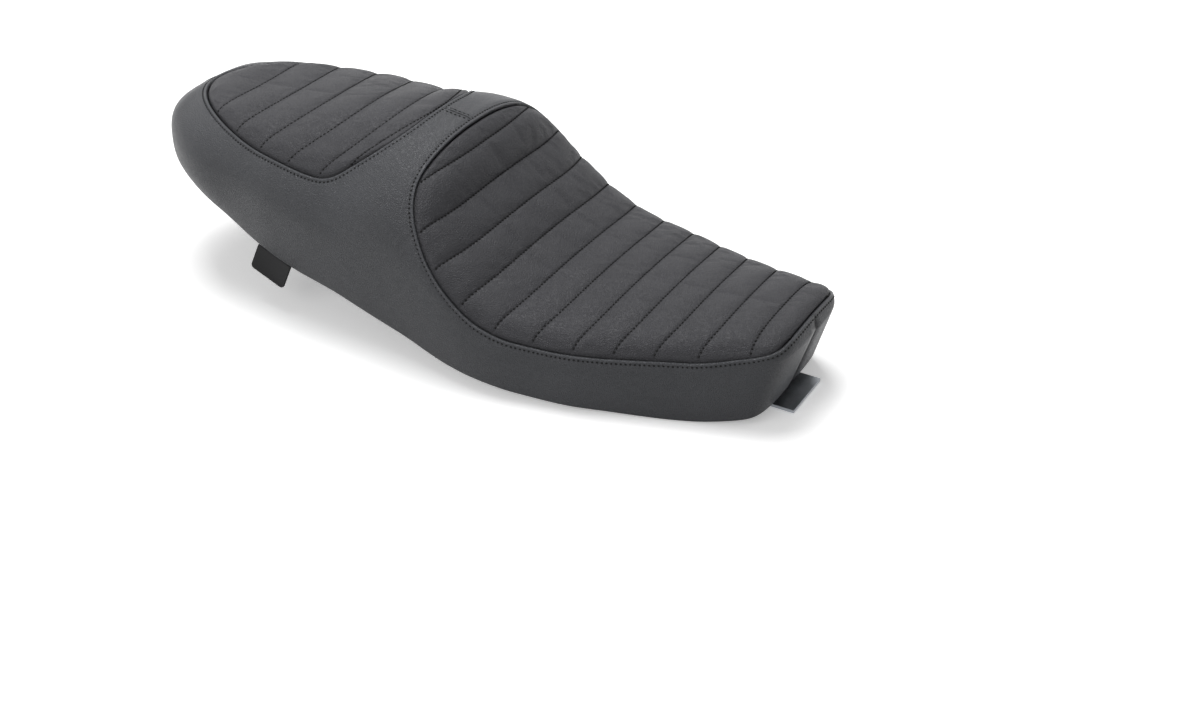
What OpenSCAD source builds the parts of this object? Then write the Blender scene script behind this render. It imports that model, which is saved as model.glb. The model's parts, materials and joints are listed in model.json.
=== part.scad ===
// Two-up motorcycle seat: a pleated rider's pad and a pleated passenger's pad, sewn into two smooth
// side covers over one foam core, on a moulded pan with its tongue, striker and rubber bumpers.
// The frame: +X to the nose, +Y to the rider's left, +Z up as mounted. The origin is under the middle
// of the seat, on the plane through the feet of the front bumpers and the striker.

/* [Overall] */
// Length from the tail to the nose
seat_len = 702; // [642:5:762]
// Width beside the rider's hips, where the seat is widest
hip_w = 282; // [262:2:302]
// Width over the passenger's part
pass_w = 250; // [230:2:264]
// Width of the tail, before its corners are rounded
tail_w = 226; // [200:2:236]
// Width of the nose, before its corners are rounded
nose_w = 146; // [130:2:170]

/* [Heights] */
// Height of the passenger's pad behind its middle
pass_h = 174; // [166:1:184]
// Height of the band at the rider's pad's rear edge
crest_h = 193; // [186:1:202]
// Lowest height of the rider's pad, in the dip
dip_h = 84; // [78:1:92]
// Height of the rider's pad at the nose
nose_h = 91; // [88:1:98]
// Height of the covers' lower edge under the rider
hem_h = 6; // [5:0.5:9]
// Height of the covers' lower edge at the tail
tail_hem_h = 116; // [108:1:120]

/* [Places along the seat, from the tail] */
// Front corners of the passenger's pad
pad_front_at = 267; // [259:1:275]
// How far the middle of that pad's front edge lies in front of its corners
pad_arch = 40; // [34:1:44]
// How much fuller than its pleats that edge is, at a quarter of the pad's width
front_fill = 9; // [6:1:11]
// Rear edge of the rider's pad, on the crest
crest_at = 345; // [337:1:353]
// Widest place
hip_at = 416; // [406:1:426]
// Lowest place of the rider's pad
dip_at = 536; // [526:1:550]

/* [Sewn panels] */
// Thickness of the two pads
panel_t = 8; // [6:0.5:10]
// Thickness of the pads along their seams
seam_t = 3.5; // [3:0.5:5]
// Thickness of the covers over the shoulders
cover_top_t = 6; // [5:0.5:8]
// Thickness of the covers at the lower edge
hem_t = 3; // [2:0.2:3.2]
// Width of the covers' turned-in edge under the pan
flange_w = 18; // [14:1:22]
// Distance between the pleats of the rider's pad
pleat_pitch = 35; // [30:1:42]
// Distance from the crest to the first pleat
first_pleat = 19; // [14:1:26]
// Distance between the pleats of the passenger's pad
pass_pitch = 37.5; // [32:0.5:42]
// Length of the rearmost roll of the passenger's pad
tail_roll = 55; // [48:1:62]
// Height of the rolls between the pleats
roll_h = 3; // [2:0.5:6]
// Gap between sewn panels
seam_gap = 0.4; // [0.3:0.1:0.8]
// Gap between a pad's edge and the covers' edge at their seam
pad_gap = 0.9; // [0.6:0.1:1]

/* [Pan] */
// Thickness of the pan
pan_t = 3.5; // [2.5:0.5:5]
// Thickness of the stiffening ribs under the pan
rib_t = 3; // [2:0.5:5]
// Depth of the ribs under the pan
rib_h = 3; // [2:0.5:4]

/* [Hardware] */
// Diameter of the rubber bumpers
bumper_d = 22; // [18:1:26]
// Diameter of the bumpers' stems
stem_d = 8; // [6:0.5:10]
// Diameter of the striker's rod
rod_d = 8; // [6:0.5:10]
// Distance between the striker's legs
leg_gap = 34; // [28:1:44]
// Striker's place along the seat, from the tail
striker_at = 218; // [208:1:228]
// Thickness of the striker's plate and of the tongue
plate_t = 3; // [2:0.5:4]
// Width of the tongue
tongue_w = 60; // [44:2:80]
// Diameter of the striker's screws
screw_d = 5; // [4:0.5:6]
// Diameter of the tongue's rivets
rivet_d = 5; // [4:0.5:6]
// Radial clearance of pins in their holes
fit_gap = 0.05; // [0.03:0.01:0.1]
// Length of a staple
staple_l = 10; // [8:1:14]
// Thickness of the staples' wire
staple_t = 0.6; // [0.5:0.1:0.8]

/* [Label] */
// Length of the blank sewn-on label
label_l = 45; // [36:1:54]
// Height of the label
label_h = 25; // [20:1:30]
// Thickness of the label
label_t = 2; // [1.5:0.1:3]
// Rear end of the label, from the tail
label_at = 156; // [146:1:164]
// Gap between the label and the covers' edge
label_gap = 0.3; // [0.2:0.1:0.5]
// Angle by which the label stands out from the side
label_tilt = 20; // [0:1:30]

/* [Hidden] */
$fn = 48;

vinyl = "#4b4c4e";
pleated_vinyl = "#434446";
foam_colour = "#d8c88e";
plastic = "#202123";
rubber = "#161616";
steel = "#a7abb0";

tail_x = -seat_len / 2;
nose_x = seat_len / 2;
pad_x = tail_x + pad_front_at;
crest_x = tail_x + crest_at;
hip_x = tail_x + hip_at;
dip_x = tail_x + dip_at;
taper_x = nose_x - 33;
rise_x = nose_x - 10;
face_l = dip_x - crest_x;
rise_l = rise_x - dip_x;

// Ends of the outline: how far their rounding reaches, and how square it is
tail_r = 150;
tail_p = 2.2;
nose_r = 60;
nose_p = 4;
// Centre line of the top, as [x, height]: the hump's face and the nose's rise go by shares of their height
CROWN = concat(
    [[tail_x, pass_h - 33], [tail_x + 8, pass_h - 18], [tail_x + 25, pass_h - 5], [tail_x + 50, pass_h],
     [tail_x + 110, pass_h + 4], [tail_x + 165, pass_h + 9], [pad_x - 63, pass_h + 14], [pad_x, crest_h + 3],
     [pad_x + 24, crest_h + 6], [pad_x + 42, crest_h + 7], [crest_x - 18, crest_h + 5],
     [crest_x - 6, crest_h + 3], [crest_x + 1, crest_h - 1], [crest_x + 4, crest_h - 4]],
    [for (p = [[0.08, 0.84], [0.16, 0.6], [0.29, 0.37], [0.43, 0.18], [0.57, 0.065], [0.76, 0.014]])
        [crest_x + p[0] * face_l, dip_h + p[1] * (crest_h - dip_h)]],
    [[dip_x, dip_h]],
    [for (p = [[0.37, 0.24], [0.6, 0.62], [0.84, 0.94], [1, 1]])
        [dip_x + p[0] * rise_l, dip_h + p[1] * (nose_h - dip_h)]],
    [[nose_x - 4, nose_h - 4], [nose_x, nose_h - 15]]);

// Height of the widest line round the seat, as [x, height]
SHOULDER = [[tail_x, pass_h - 34], [tail_x + 90, pass_h - 51], [tail_x + 165, pass_h - 53],
    [pad_x - 63, pass_h - 56], [pad_x, pass_h - 66],
    [crest_x - 8, crest_h - 88], [crest_x + 14, crest_h - 97],
    [crest_x + 29, crest_h - 100], [crest_x + 53, dip_h - 3], [crest_x + 78, dip_h - 18],
    [crest_x + 105, dip_h - 28], [crest_x + 139, dip_h - 34], [dip_x, dip_h - 38], [dip_x + 60, dip_h - 35],
    [nose_x - 72, nose_h - 41], [nose_x - 35, nose_h - 28], [nose_x, nose_h - 16]];

// Half width of the seat, as [x, half width], before its ends are rounded
WIDTH = concat(
    [[tail_x, tail_w / 2], [tail_x + 90, tail_w / 2 + 6],
     [tail_x + 130, pass_w / 2 - 8], [tail_x + 190, pass_w / 2],
     [pad_x + 7, (pass_w + hip_w) / 4 - 3], [crest_x - 2, hip_w / 2 - 6], [hip_x - 20, hip_w / 2 - 1]],
    [for (p = [[0, 1], [0.14, 0.97], [0.27, 0.85], [0.42, 0.69],
        [0.55, 0.5], [0.7, 0.3], [0.84, 0.15], [1, 0]])
        [hip_x + p[0] * (taper_x - hip_x), nose_w / 2 + p[1] * (hip_w - nose_w) / 2]],
    [[nose_x, nose_w / 2 - 4]]);

// Height of the covers' lower edge, as [x, height]
HEM = concat(
    [for (p = [[0, 1], [25, 0.96], [65, 0.89], [110, 0.73], [150, 0.55], [200, 0.43],
        [265, 0.36], [330, 0.24], [400, 0.09], [450, 0.036], [540, 0.01]])
        [tail_x + p[0], hem_h + p[1] * (tail_hem_h - hem_h)]],
    [[nose_x - 60, hem_h], [nose_x - 30, hem_h + 4], [nose_x, hem_h + 14]]);

// Squareness of the cross-section, as [x, exponent]: 2 is an ellipse
SQUARE = [[tail_x, 3], [tail_x + 60, 2.9], [tail_x + 165, 2.26], [pad_x, 1.9], [crest_x - 19, 2.25],
    [crest_x, 2.3], [crest_x + 30, 2.7], [crest_x + 50, 2.7], [nose_x, 2.7]];

// Share of the half width by which the covers draw in from the widest line to the lower edge
DRAW_IN = [[tail_x, 0.08], [tail_x + 150, 0.08], [crest_x, 0.05], [hip_x, 0.02], [nose_x, 0.02]];

// Curves through hand-set points
function clamp(v, low, high) = min(max(v, low), high);
function inset(v, low, high, gap) = low + gap + (v - low) * (high - low - 2 * gap) / (high - low);
function span_at(p, x, i = 0) = (i >= len(p) - 2 || x < p[i + 1][0]) ? i : span_at(p, x, i + 1);
function slope(p, i) = (p[i + 1][1] - p[i][1]) / (p[i + 1][0] - p[i][0]);
function tangent(p, i) =
    i == 0 ? slope(p, 0) :
    i == len(p) - 1 ? slope(p, i - 1) :
    let (a = p[i][0] - p[i - 1][0], b = p[i + 1][0] - p[i][0])
    (slope(p, i - 1) * b + slope(p, i) * a) / (a + b);
function curve(p, x) =
    let (i = span_at(p, x), h = p[i + 1][0] - p[i][0], t = clamp((x - p[i][0]) / h, 0, 1))
    (2 * t ^ 3 - 3 * t ^ 2 + 1) * p[i][1] + (t ^ 3 - 2 * t ^ 2 + t) * h * tangent(p, i)
    + (3 * t ^ 2 - 2 * t ^ 3) * p[i + 1][1] + (t ^ 3 - t ^ 2) * h * tangent(p, i + 1);

// The seat's outer form
function crown_z(x) = curve(CROWN, x);
function hem_z(x) = curve(HEM, x);
function shoulder_z(x) = curve(SHOULDER, x);
function end_cap(s, p) = s >= 1 ? 1 : s <= 0 ? 0 : (1 - (1 - s) ^ p) ^ (1 / p);
function half_w(x) =
    curve(WIDTH, x) * end_cap((x - tail_x) / tail_r, tail_p) * end_cap((nose_x - x) / nose_r, nose_p);
function top_z(x, y) =
    let (w = half_w(x), z0 = shoulder_z(x), e = curve(SQUARE, x),
        f = abs(y) < 0.001 ? 0 : w < 0.01 ? 1 : min(abs(y) / w, 1))
    z0 + (crown_z(x) - z0) * (1 - f ^ e) ^ (1 / e);
function crown_slope(x) = (crown_z(x + 0.5) - crown_z(x - 0.5));
function nose_share(x) = clamp((x - nose_x + nose_r) / nose_r, 0, 1) ^ 2;
function tail_share(x) = clamp((tail_x + tail_r / 3 - x) / (tail_r / 3), 0, 1) ^ 2;
// How far the nose and the tail lean in at the lower edge
nose_lean = 20;
tail_lean = 9;
// A point at the lower edge, below the widest line's point at x, moved inwards by d
function hem_plan(x, d) = [
    x - (nose_lean + d) * nose_share(x) + (tail_lean + d) * tail_share(x),
    half_w(x) * (1 - curve(DRAW_IN, x)) * (1 - d / curve(WIDTH, x))];

// Paths measured along their length
function run_lengths(p, i = 0, sum = 0) =
    i == len(p) - 1 ? [sum] : concat([sum], run_lengths(p, i + 1, sum + norm(p[i + 1] - p[i])));
function run_span(l, s, i = 0) = (i >= len(l) - 2 || s < l[i + 1]) ? i : run_span(l, s, i + 1);
function along(p, l, s) =
    let (i = run_span(l, s), t = clamp((s - l[i]) / (l[i + 1] - l[i]), 0, 1))
    p[i] + (p[i + 1] - p[i]) * t;

// The rider's pad: a straight edge on the crest, rounded corners, sides just inside the widest line
seam_share = 0.97;
crest_half = 76;
corner_l = 68;
corner_p = 3;
nose_seam_x = nose_x - 6;
nose_corner_x = nose_x - 12;
pleat_bow = 4.4;
function seam_w(x) = seam_share * half_w(x);
DRIVER_SEAM = concat(
    [for (a = [0 : 7.5 : 90])
        let (x = crest_x + corner_l - corner_l * cos(a) ^ (2 / corner_p))
        [x, crest_half + (seam_w(x) - crest_half) * sin(a) ^ (2 / corner_p)]],
    [for (i = [1 : 30])
        let (x = crest_x + corner_l + (nose_corner_x - crest_x - corner_l) * i / 30)
        [x, seam_w(x)]]);
DRIVER_SEAM_RUN = run_lengths(DRIVER_SEAM);
driver_seam_l = DRIVER_SEAM_RUN[len(DRIVER_SEAM_RUN) - 1];
DRIVER_CROWN = [for (i = [0 : 80]) let (x = crest_x + (nose_seam_x - crest_x) * i / 80) [x, crown_z(x)]];
DRIVER_CROWN_RUN = run_lengths(DRIVER_CROWN);
driver_crown_l = DRIVER_CROWN_RUN[len(DRIVER_CROWN_RUN) - 1];
// Places of the pleats along the centre line, with the two ends
last_roll_min = 0.4 * pleat_pitch;
DRIVER_PLEATS = concat(
    [0], [for (s = [first_pleat : pleat_pitch : driver_crown_l - last_roll_min]) s], [driver_crown_l]);

// The passenger's pad: half an ellipse at the tail, rounded front corners, an arched front edge
pad_tail_x = tail_x + 33;
pad_wide_x = pad_x - 28;
pad_p = 1.85;
pad_side = 0.8;
pad_corner_y = 10;
pad_tip_angle = 10;
pad_w = pad_side * half_w(pad_wide_x);
function pad_half(x) = x <= pad_wide_x ?
    pad_w * (1 - clamp((pad_wide_x - x) / (pad_wide_x - pad_tail_x), 0, 1) ^ pad_p) ^ (1 / pad_p) :
    pad_w - pad_corner_y * clamp((x - pad_wide_x) / (pad_x - pad_wide_x), 0, 1) ^ 3;
pad_tip_x = pad_wide_x - (pad_wide_x - pad_tail_x) * cos(pad_tip_angle) ^ (2 / pad_p);
// How far the middle of a pleat lies in front of its ends, as [x, share of the front edge's arch]
FORE = [[pad_tip_x, 0], [tail_x + 88, 0.08], [tail_x + 125, 0.28], [tail_x + 163, 0.55], [tail_x + 200, 0.8],
    [tail_x + 238, 0.94], [pad_x, 1]];
function fore(x) = pad_arch * curve(FORE, x);
function fill(v) = 4 * front_fill * v * v * (1 - v * v);
pass_roll_min = 0.4 * pass_pitch;
PASS_PLEATS = concat(
    [pad_tip_x], [for (x = [pad_tail_x + tail_roll : pass_pitch : pad_x - pass_roll_min]) x], [pad_x]);

// Stations across a pad and shares of a roll's length
PAD_V = [1, 0.94, 0.8, 0.56, 0.28, 0, -0.28, -0.56, -0.8, -0.94, -1];
ROLL_SHARES = [0, 0.2, 0.5, 0.8];
function roll_form(f) = 1 - abs(2 * f - 1) ^ 4;
function edge_form(v) = 1 - abs(v) ^ 8;
function pad_drop(v, row, rows) =
    row == 0 || row == rows - 1 ? seam_t : panel_t - (panel_t - seam_t) * abs(v) ^ 6;

// A closed sheet between two like grids of points, the first one outside
function sheet_faces(n, m) = let (k = n * m) concat(
    [for (i = [0 : n - 2], j = [0 : m - 2]) each [
        [i * m + j, (i + 1) * m + j + 1, i * m + j + 1], [i * m + j, (i + 1) * m + j, (i + 1) * m + j + 1],
        [k + i * m + j, k + i * m + j + 1, k + (i + 1) * m + j + 1],
        [k + i * m + j, k + (i + 1) * m + j + 1, k + (i + 1) * m + j]]],
    [for (i = [0 : n - 2], j = [0, m - 1]) let (a = i * m + j, b = (i + 1) * m + j)
        each j == 0 ? [[a, k + a, b], [b, k + a, k + b]] : [[a, b, k + a], [b, k + b, k + a]]],
    [for (j = [0 : m - 2], i = [0, n - 1]) let (a = i * m + j, b = a + 1)
        each i == 0 ? [[a, b, k + a], [b, k + b, k + a]] : [[a, k + a, b], [b, k + a, k + b]]]);
module sheet(outer, inner) {
    n = len(outer);
    m = len(outer[0]);
    polyhedron(
        points = concat([for (r = outer) each r], [for (r = inner) each r]),
        faces = sheet_faces(n, m));
}

// A point of the rider's pad, s along the centre line and v across, lifted by a roll's height
function driver_point(s, v, lift, drop) =
    let (c = along(DRIVER_CROWN, DRIVER_CROWN_RUN, s)[0],
        e = along(DRIVER_SEAM, DRIVER_SEAM_RUN, s * driver_seam_l / driver_crown_l),
        edge_x = s >= driver_crown_l - 0.001 ? nose_corner_x : e[0],
        x = inset(c + (edge_x - c) * abs(v) ^ pleat_bow, crest_x, nose_seam_x, pad_gap),
        y = v * (e[1] - pad_gap),
        g = crown_slope(c),
        n = [-g, 1] / norm([-g, 1]))
    [x + lift * n[0], y, top_z(x, y) + lift * n[1] - drop];
DRIVER_ROWS = concat(
    [for (i = [0 : len(DRIVER_PLEATS) - 2], f = ROLL_SHARES)
        [DRIVER_PLEATS[i] + f * (DRIVER_PLEATS[i + 1] - DRIVER_PLEATS[i]), roll_form(f)]],
    [[driver_crown_l, 0]]);
driver_n = len(DRIVER_ROWS);
module driver_insert() {
    color(pleated_vinyl) sheet(
        [for (r = DRIVER_ROWS) [for (v = PAD_V) driver_point(r[0], v, roll_h * r[1] * edge_form(v), 0)]],
        [for (i = [0 : driver_n - 1])
            [for (v = PAD_V) driver_point(DRIVER_ROWS[i][0], v, 0, pad_drop(v, i, driver_n))]]);
}

// A point of the passenger's pad at x and v across
function pass_point(x, v, lift) =
    let (bow = (pad_tip_x - pad_tail_x) * clamp(1 - (x - pad_tip_x) / tail_roll, 0, 1) ^ 3,
        px = inset(x, pad_tail_x, pad_x, pad_gap) + (fore(x) - bow) * (1 - v * v) + (x < pad_x ? 0 : fill(v)),
        y = v * (pad_half(x) - pad_gap))
    [px, y, top_z(px, y) + lift];
TAIL_SHARES = [0, 0.06, 0.16, 0.3, 0.5, 0.8];
FRONT_SHARES = [0, 0.2, 0.5, 0.8, 0.93];
pass_rolls = len(PASS_PLEATS) - 1;
PASS_ROWS = concat(
    [for (i = [0 : pass_rolls - 1],
        f = i == 0 ? TAIL_SHARES : i == pass_rolls - 1 ? FRONT_SHARES : ROLL_SHARES)
        [PASS_PLEATS[i] + f * (PASS_PLEATS[i + 1] - PASS_PLEATS[i]), roll_form(f)]],
    [[pad_x, 0]]);
pass_n = len(PASS_ROWS);
module passenger_insert() {
    color(pleated_vinyl) sheet(
        [for (r = PASS_ROWS) [for (v = PAD_V) pass_point(r[0], v, roll_h * r[1] * edge_form(v))]],
        [for (i = [0 : pass_n - 1])
            [for (v = PAD_V) pass_point(PASS_ROWS[i][0], v, -pad_drop(v, i, pass_n))]]);
}

// The side covers: stations from the nose to the tail, as [seam x, seam y, x of the widest line]
nose_angle = asin(((nose_corner_x - nose_x + nose_r) / nose_r) ^ (nose_p / 2));
function nose_cap_x(a) = nose_x - nose_r * (1 - sin(a) ^ (2 / nose_p));
function tail_cap_x(a) = tail_x + tail_r * (1 - sin(a) ^ (2 / tail_p));
crest_lag = 14;
band_lag = 30;
front_lead = 38;
FRONT_V = [for (j = [5 : -1 : 1]) PAD_V[j]];
tail_lag = 30.5;
tail_corner_x = pad_tip_x - tail_lag;
tail_angle = asin((1 - (tail_corner_x - tail_x) / tail_r) ^ (tail_p / 2));
pad_tip_y = pad_half(pad_tip_x);
corner_share = 0.36;
bow_share = 0.86;
SIDE_SHARES = concat(
    [for (i = [0 : 4]) 1 - (1 - bow_share) * i / 5],
    [for (i = [0 : 6]) bow_share - (bow_share - corner_share) * i / 7],
    [for (i = [0 : 12]) corner_share * (1 - i / 13)]);
COVER_STATIONS = concat(
    [for (i = [0 : 3]) let (v = i / 4)
        [nose_seam_x + (nose_corner_x - nose_seam_x) * v ^ pleat_bow,
         v * seam_w(nose_corner_x), nose_cap_x(90 + (nose_angle - 90) * v)]],
    [for (t = SIDE_SHARES) let (e = along(DRIVER_SEAM, DRIVER_SEAM_RUN, t * driver_seam_l))
        [e[0], e[1], e[0] - crest_lag * (1 - t) ^ 4]],
    [for (i = [0 : 3])
        [crest_x, crest_half * (1 - i / 4), crest_x - crest_lag - (band_lag - crest_lag) * i / 4]],
    [for (i = [0 : 3]) let (x = crest_x + (pad_x + pad_arch - crest_x) * i / 4)
        [x, 0, crest_x - band_lag + (pad_x + front_lead - crest_x + band_lag) * i / 4]],
    [for (v = FRONT_V)
        [pad_x + pad_arch * (1 - v * v) + fill(v), pad_half(pad_x) * v, pad_x + front_lead * (1 - v * v)]],
    [for (i = [0 : 16]) let (t = i / 17, x = pad_x + (pad_tip_x - pad_x) * (1 - cos(180 * t)) / 2)
        [x, pad_half(x), x - tail_lag * (1 - cos(180 * t)) / 2]],
    [for (i = [0 : 3]) let (v = 1 - i / 3)
        [pad_tip_x - (pad_tip_x - pad_tail_x) * (1 - v * v), v * pad_tip_y,
         tail_cap_x(90 + (tail_angle - 90) * v)]]);
COVER_SHARES = [for (j = [0 : 5]) sin(18 * j)];
WALL_SHARES = [0.3, 0.65, 1];
wall_bulge = 2;
// One line of a cover, from its seam over the shoulder, down the side and in under the pan
function cover_line(c) =
    let (w = [c[2], half_w(c[2])], h = hem_plan(c[2], 0), f = hem_plan(c[2], flange_w),
        z0 = shoulder_z(c[2]))
    concat(
        [for (s = COVER_SHARES) let (p = [c[0], c[1]] * (1 - s) + w * s)
            [p[0], p[1], s == 1 ? z0 : top_z(p[0], p[1])]],
        [for (q = WALL_SHARES) let (p = w * (1 - q) + h * q)
            [p[0], p[1] + (w[1] > 1 ? wall_bulge * 4 * q * (1 - q) : 0), z0 + (hem_z(h[0]) - z0) * q]],
        [[f[0], f[1], hem_z(f[0])]]);
COVER = [for (c = COVER_STATIONS) cover_line(c)];
cover_n = len(COVER);
cover_m = len(COVER[0]);
function cover_t(j) =
    let (wall_j = j - len(COVER_SHARES) + 1)
    cover_top_t + (hem_t - cover_top_t) * clamp(wall_j / len(WALL_SHARES), 0, 1);
function unit(v) = v / max(norm(v), 0.0001);
function cover_in(i, j) =
    j == 0 ? COVER[i][0] - [0, 0, cover_top_t] :
    let (a = COVER[max(i - 1, 0)][j], b = COVER[min(i + 1, cover_n - 1)][j],
        c = COVER[i][j - 1], d = COVER[i][min(j + 1, cover_m - 1)],
        corner = j == cover_m - 2 ? 1.3 : 1,
        p = COVER[i][j] - unit(cross(d - c, b - a)) * cover_t(j) * corner)
    p;
// Both covers end on the seat's middle plane
function from_middle(p) = [p[0], max(p[1], 0) + seam_gap / 2, p[2]];
module cover_half() {
    color(vinyl) sheet(
        [for (i = [0 : cover_n - 1]) [for (j = [0 : cover_m - 1]) from_middle(COVER[i][j])]],
        [for (i = [0 : cover_n - 1]) [for (j = [0 : cover_m - 1]) from_middle(cover_in(i, j))]]);
}
module side_cover_left() { cover_half(); }
module side_cover_right() { mirror([0, 1, 0]) cover_half(); }

// The foam core, a loft of cross-sections inside the panels
core_gap = panel_t + 4;
pan_gap = 1;
core_lift = hem_t + pan_gap + pan_t + 1.3;
core_tail_x = tail_x + tail_r;
core_nose_x = nose_x - 50;
CORE_X = concat(
    [for (a = [75 : -15 : 15]) tail_cap_x(a) + core_gap + 13],
    [for (i = [1 : 22]) core_tail_x + (core_nose_x - core_tail_x) * i / 22],
    [nose_x - 38, nose_x - 27]);
CORE_ANGLES = [90, 72, 54, 36, 18, 0, -18, -36, -54, -72, -90];
function core_section(x) =
    let (w = half_w(x) - core_gap, z0 = shoulder_z(x) - 2, c = crown_z(x) - core_gap, e = curve(SQUARE, x),
        h = hem_plan(x, core_gap), zb = hem_z(h[0]) + core_lift)
    concat(
        [[h[0], h[1], zb]],
        [for (a = CORE_ANGLES) let (s = sin(abs(a)) ^ (2 / e))
            [x, sign(a) * w * s, z0 + (c - z0) * cos(a) ^ (2 / e)]],
        [[h[0], -h[1], zb]]);
module foam_core() {
    rings = [for (x = CORE_X) core_section(x)];
    n = len(rings);
    m = len(rings[0]);
    color(foam_colour) polyhedron(
        points = [for (r = rings) each r],
        faces = concat(
            [for (i = [0 : n - 2], j = [0 : m - 1]) let (k = (j + 1) % m) each [
                [i * m + j, (i + 1) * m + k, i * m + k], [i * m + j, (i + 1) * m + j, (i + 1) * m + k]]],
            [for (j = [1 : m - 2]) [0, j, j + 1]],
            [for (j = [1 : m - 2]) [(n - 1) * m, (n - 1) * m + j + 1, (n - 1) * m + j]]));
}

// The pan: a sheet that follows the lower edge, with ribs and with level bosses for its hardware
pan_inset = 6;
pan_low = hem_t + pan_gap;
PAN_X = [for (i = [0 : 40]) tail_x + seat_len * i / 40];
pan_side_x = tail_x + 0.6 * tail_r;
PAN_EDGE = concat(
    [for (a = [90 : -10 : 30]) hem_plan(tail_cap_x(a), pan_inset)],
    [for (i = [0 : 25]) hem_plan(pan_side_x + (nose_x - nose_r - pan_side_x) * i / 25, pan_inset)],
    [for (a = [20 : 10 : 90]) hem_plan(nose_cap_x(a), pan_inset)]);
module pan_plan() {
    polygon(concat(PAN_EDGE, [for (i = [len(PAN_EDGE) - 2 : -1 : 1]) [PAN_EDGE[i][0], -PAN_EDGE[i][1]]]));
}
// A band that follows the lower edge, from a to b above it, across the whole width
module hem_band(a, b) {
    rotate([90, 0, 0]) linear_extrude(height = hip_w, center = true)
        polygon(concat(
            [for (x = PAN_X) [x, hem_z(x) + a]],
            [for (i = [len(PAN_X) - 1 : -1 : 0]) [PAN_X[i], hem_z(PAN_X[i]) + b]]));
}
// Ribs under the pan, which stop short of the hardware
module pan_ribs() {
    difference() {
        intersection() {
            hem_band(pan_low - rib_h, pan_low + pan_t / 2);
            union() {
                for (y = RIB_Y)
                    translate([rib_tail_x, y - rib_t / 2, 0]) cube([rib_nose_x - rib_tail_x, rib_t, crest_h]);
                for (x = RIB_X)
                    translate([x - rib_t / 2, RIB_Y[0], 0]) cube([rib_t, RIB_Y[1] - RIB_Y[0], crest_h]);
            }
        }
        for (b = BUMPERS)
            translate([b[0], b[1], -1]) cylinder(r = boss_r + rib_clear, h = crest_h + 2);
        translate([striker_x - plate_l / 2 - rib_clear, -plate_w / 2 - rib_clear, -1])
            cube([plate_l + 2 * rib_clear, plate_w + 2 * rib_clear, crest_h + 2]);
        translate([tongue_root_x - rib_clear, -tongue_w / 2 - rib_clear, -1])
            cube([tongue_l, tongue_w + 2 * rib_clear, crest_h + 2]);
    }
}
module seat_pan() {
    color(plastic) difference() {
        union() {
            intersection() {
                linear_extrude(height = crest_h) pan_plan();
                hem_band(pan_low, pan_low + pan_t);
            }
            pan_ribs();
            intersection() {
                hem_band(pan_low - boss_reach, pan_low + pan_t / 2);
                union() {
                    for (b = BUMPERS)
                        translate([b[0], b[1], boss_z(b[0])]) cylinder(r = boss_r, h = boss_reach * 2);
                    translate([striker_x - plate_l / 2, -plate_w / 2, plate_top])
                        cube([plate_l, plate_w, boss_reach * 2]);
                    translate([tongue_root_x, -tongue_w / 2, tongue_top])
                        cube([tongue_seat_l, tongue_w, boss_reach * 2]);
                }
            }
        }
        for (b = BUMPERS)
            translate([b[0], b[1], boss_z(b[0]) - 1]) cylinder(d = stem_d + 2 * fit_gap, h = stem_l + 1.5);
        for (p = SCREWS)
            translate([p[0], p[1], plate_top - 1]) cylinder(d = screw_d + 2 * fit_gap, h = screw_grip + 1.5);
        for (p = LEGS)
            translate([p[0], p[1], plate_top - 1]) cylinder(d = rod_d + 2, h = leg_end + 1.5);
        for (p = RIVETS)
            translate([p[0], p[1], tongue_top - 1]) cylinder(d = rivet_d + 2 * fit_gap, h = rivet_grip + 1.5);
    }
}
rib_clear = 2;
rib_side = 54;
rib_tail_x = tail_x + 110;
rib_nose_x = nose_x - 130;
RIB_Y = [-rib_side, rib_side];
RIB_X = [rib_tail_x + rib_t / 2, crest_x - 40, crest_x + 60, dip_x + 20];

// Rubber bumpers under the pan: the front pair's feet set the plane that the seat stands on
bumper_front_x = nose_x - 120;
bumper_mid_x = hip_x + 10;
bumper_rear_x = tail_x + 106;
BUMPER_PAIRS = [[bumper_front_x, 60], [bumper_mid_x, 94], [bumper_rear_x, 66]];
BUMPERS = [for (p = BUMPER_PAIRS, side = [-1, 1]) [p[0], side * p[1]]];
boss_r = bumper_d / 2 + 2;
boss_reach = 14;
stem_l = 3.5;
function pan_under(x) = hem_z(x) + pan_low;
function boss_z(x) = min(pan_under(x - boss_r), pan_under(x + boss_r), pan_under(x)) - 1;
bumper_h = boss_z(bumper_front_x);
bumper_edge = 2;
module bumper(i) {
    r = bumper_d / 2;
    color(rubber) translate([BUMPERS[i][0], BUMPERS[i][1], boss_z(BUMPERS[i][0]) - bumper_h]) rotate_extrude()
        polygon([[0, 0], [r - bumper_edge, 0], [r, bumper_edge], [r, bumper_h - bumper_edge / 2],
            [r - bumper_edge / 2, bumper_h], [stem_d / 2, bumper_h], [stem_d / 2, bumper_h + stem_l - 1],
            [stem_d / 2 - 1, bumper_h + stem_l], [0, bumper_h + stem_l]]);
}
module bumper_front_right() { bumper(0); }
module bumper_front_left() { bumper(1); }
module bumper_mid_right() { bumper(2); }
module bumper_mid_left() { bumper(3); }
module bumper_rear_right() { bumper(4); }
module bumper_rear_left() { bumper(5); }

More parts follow.
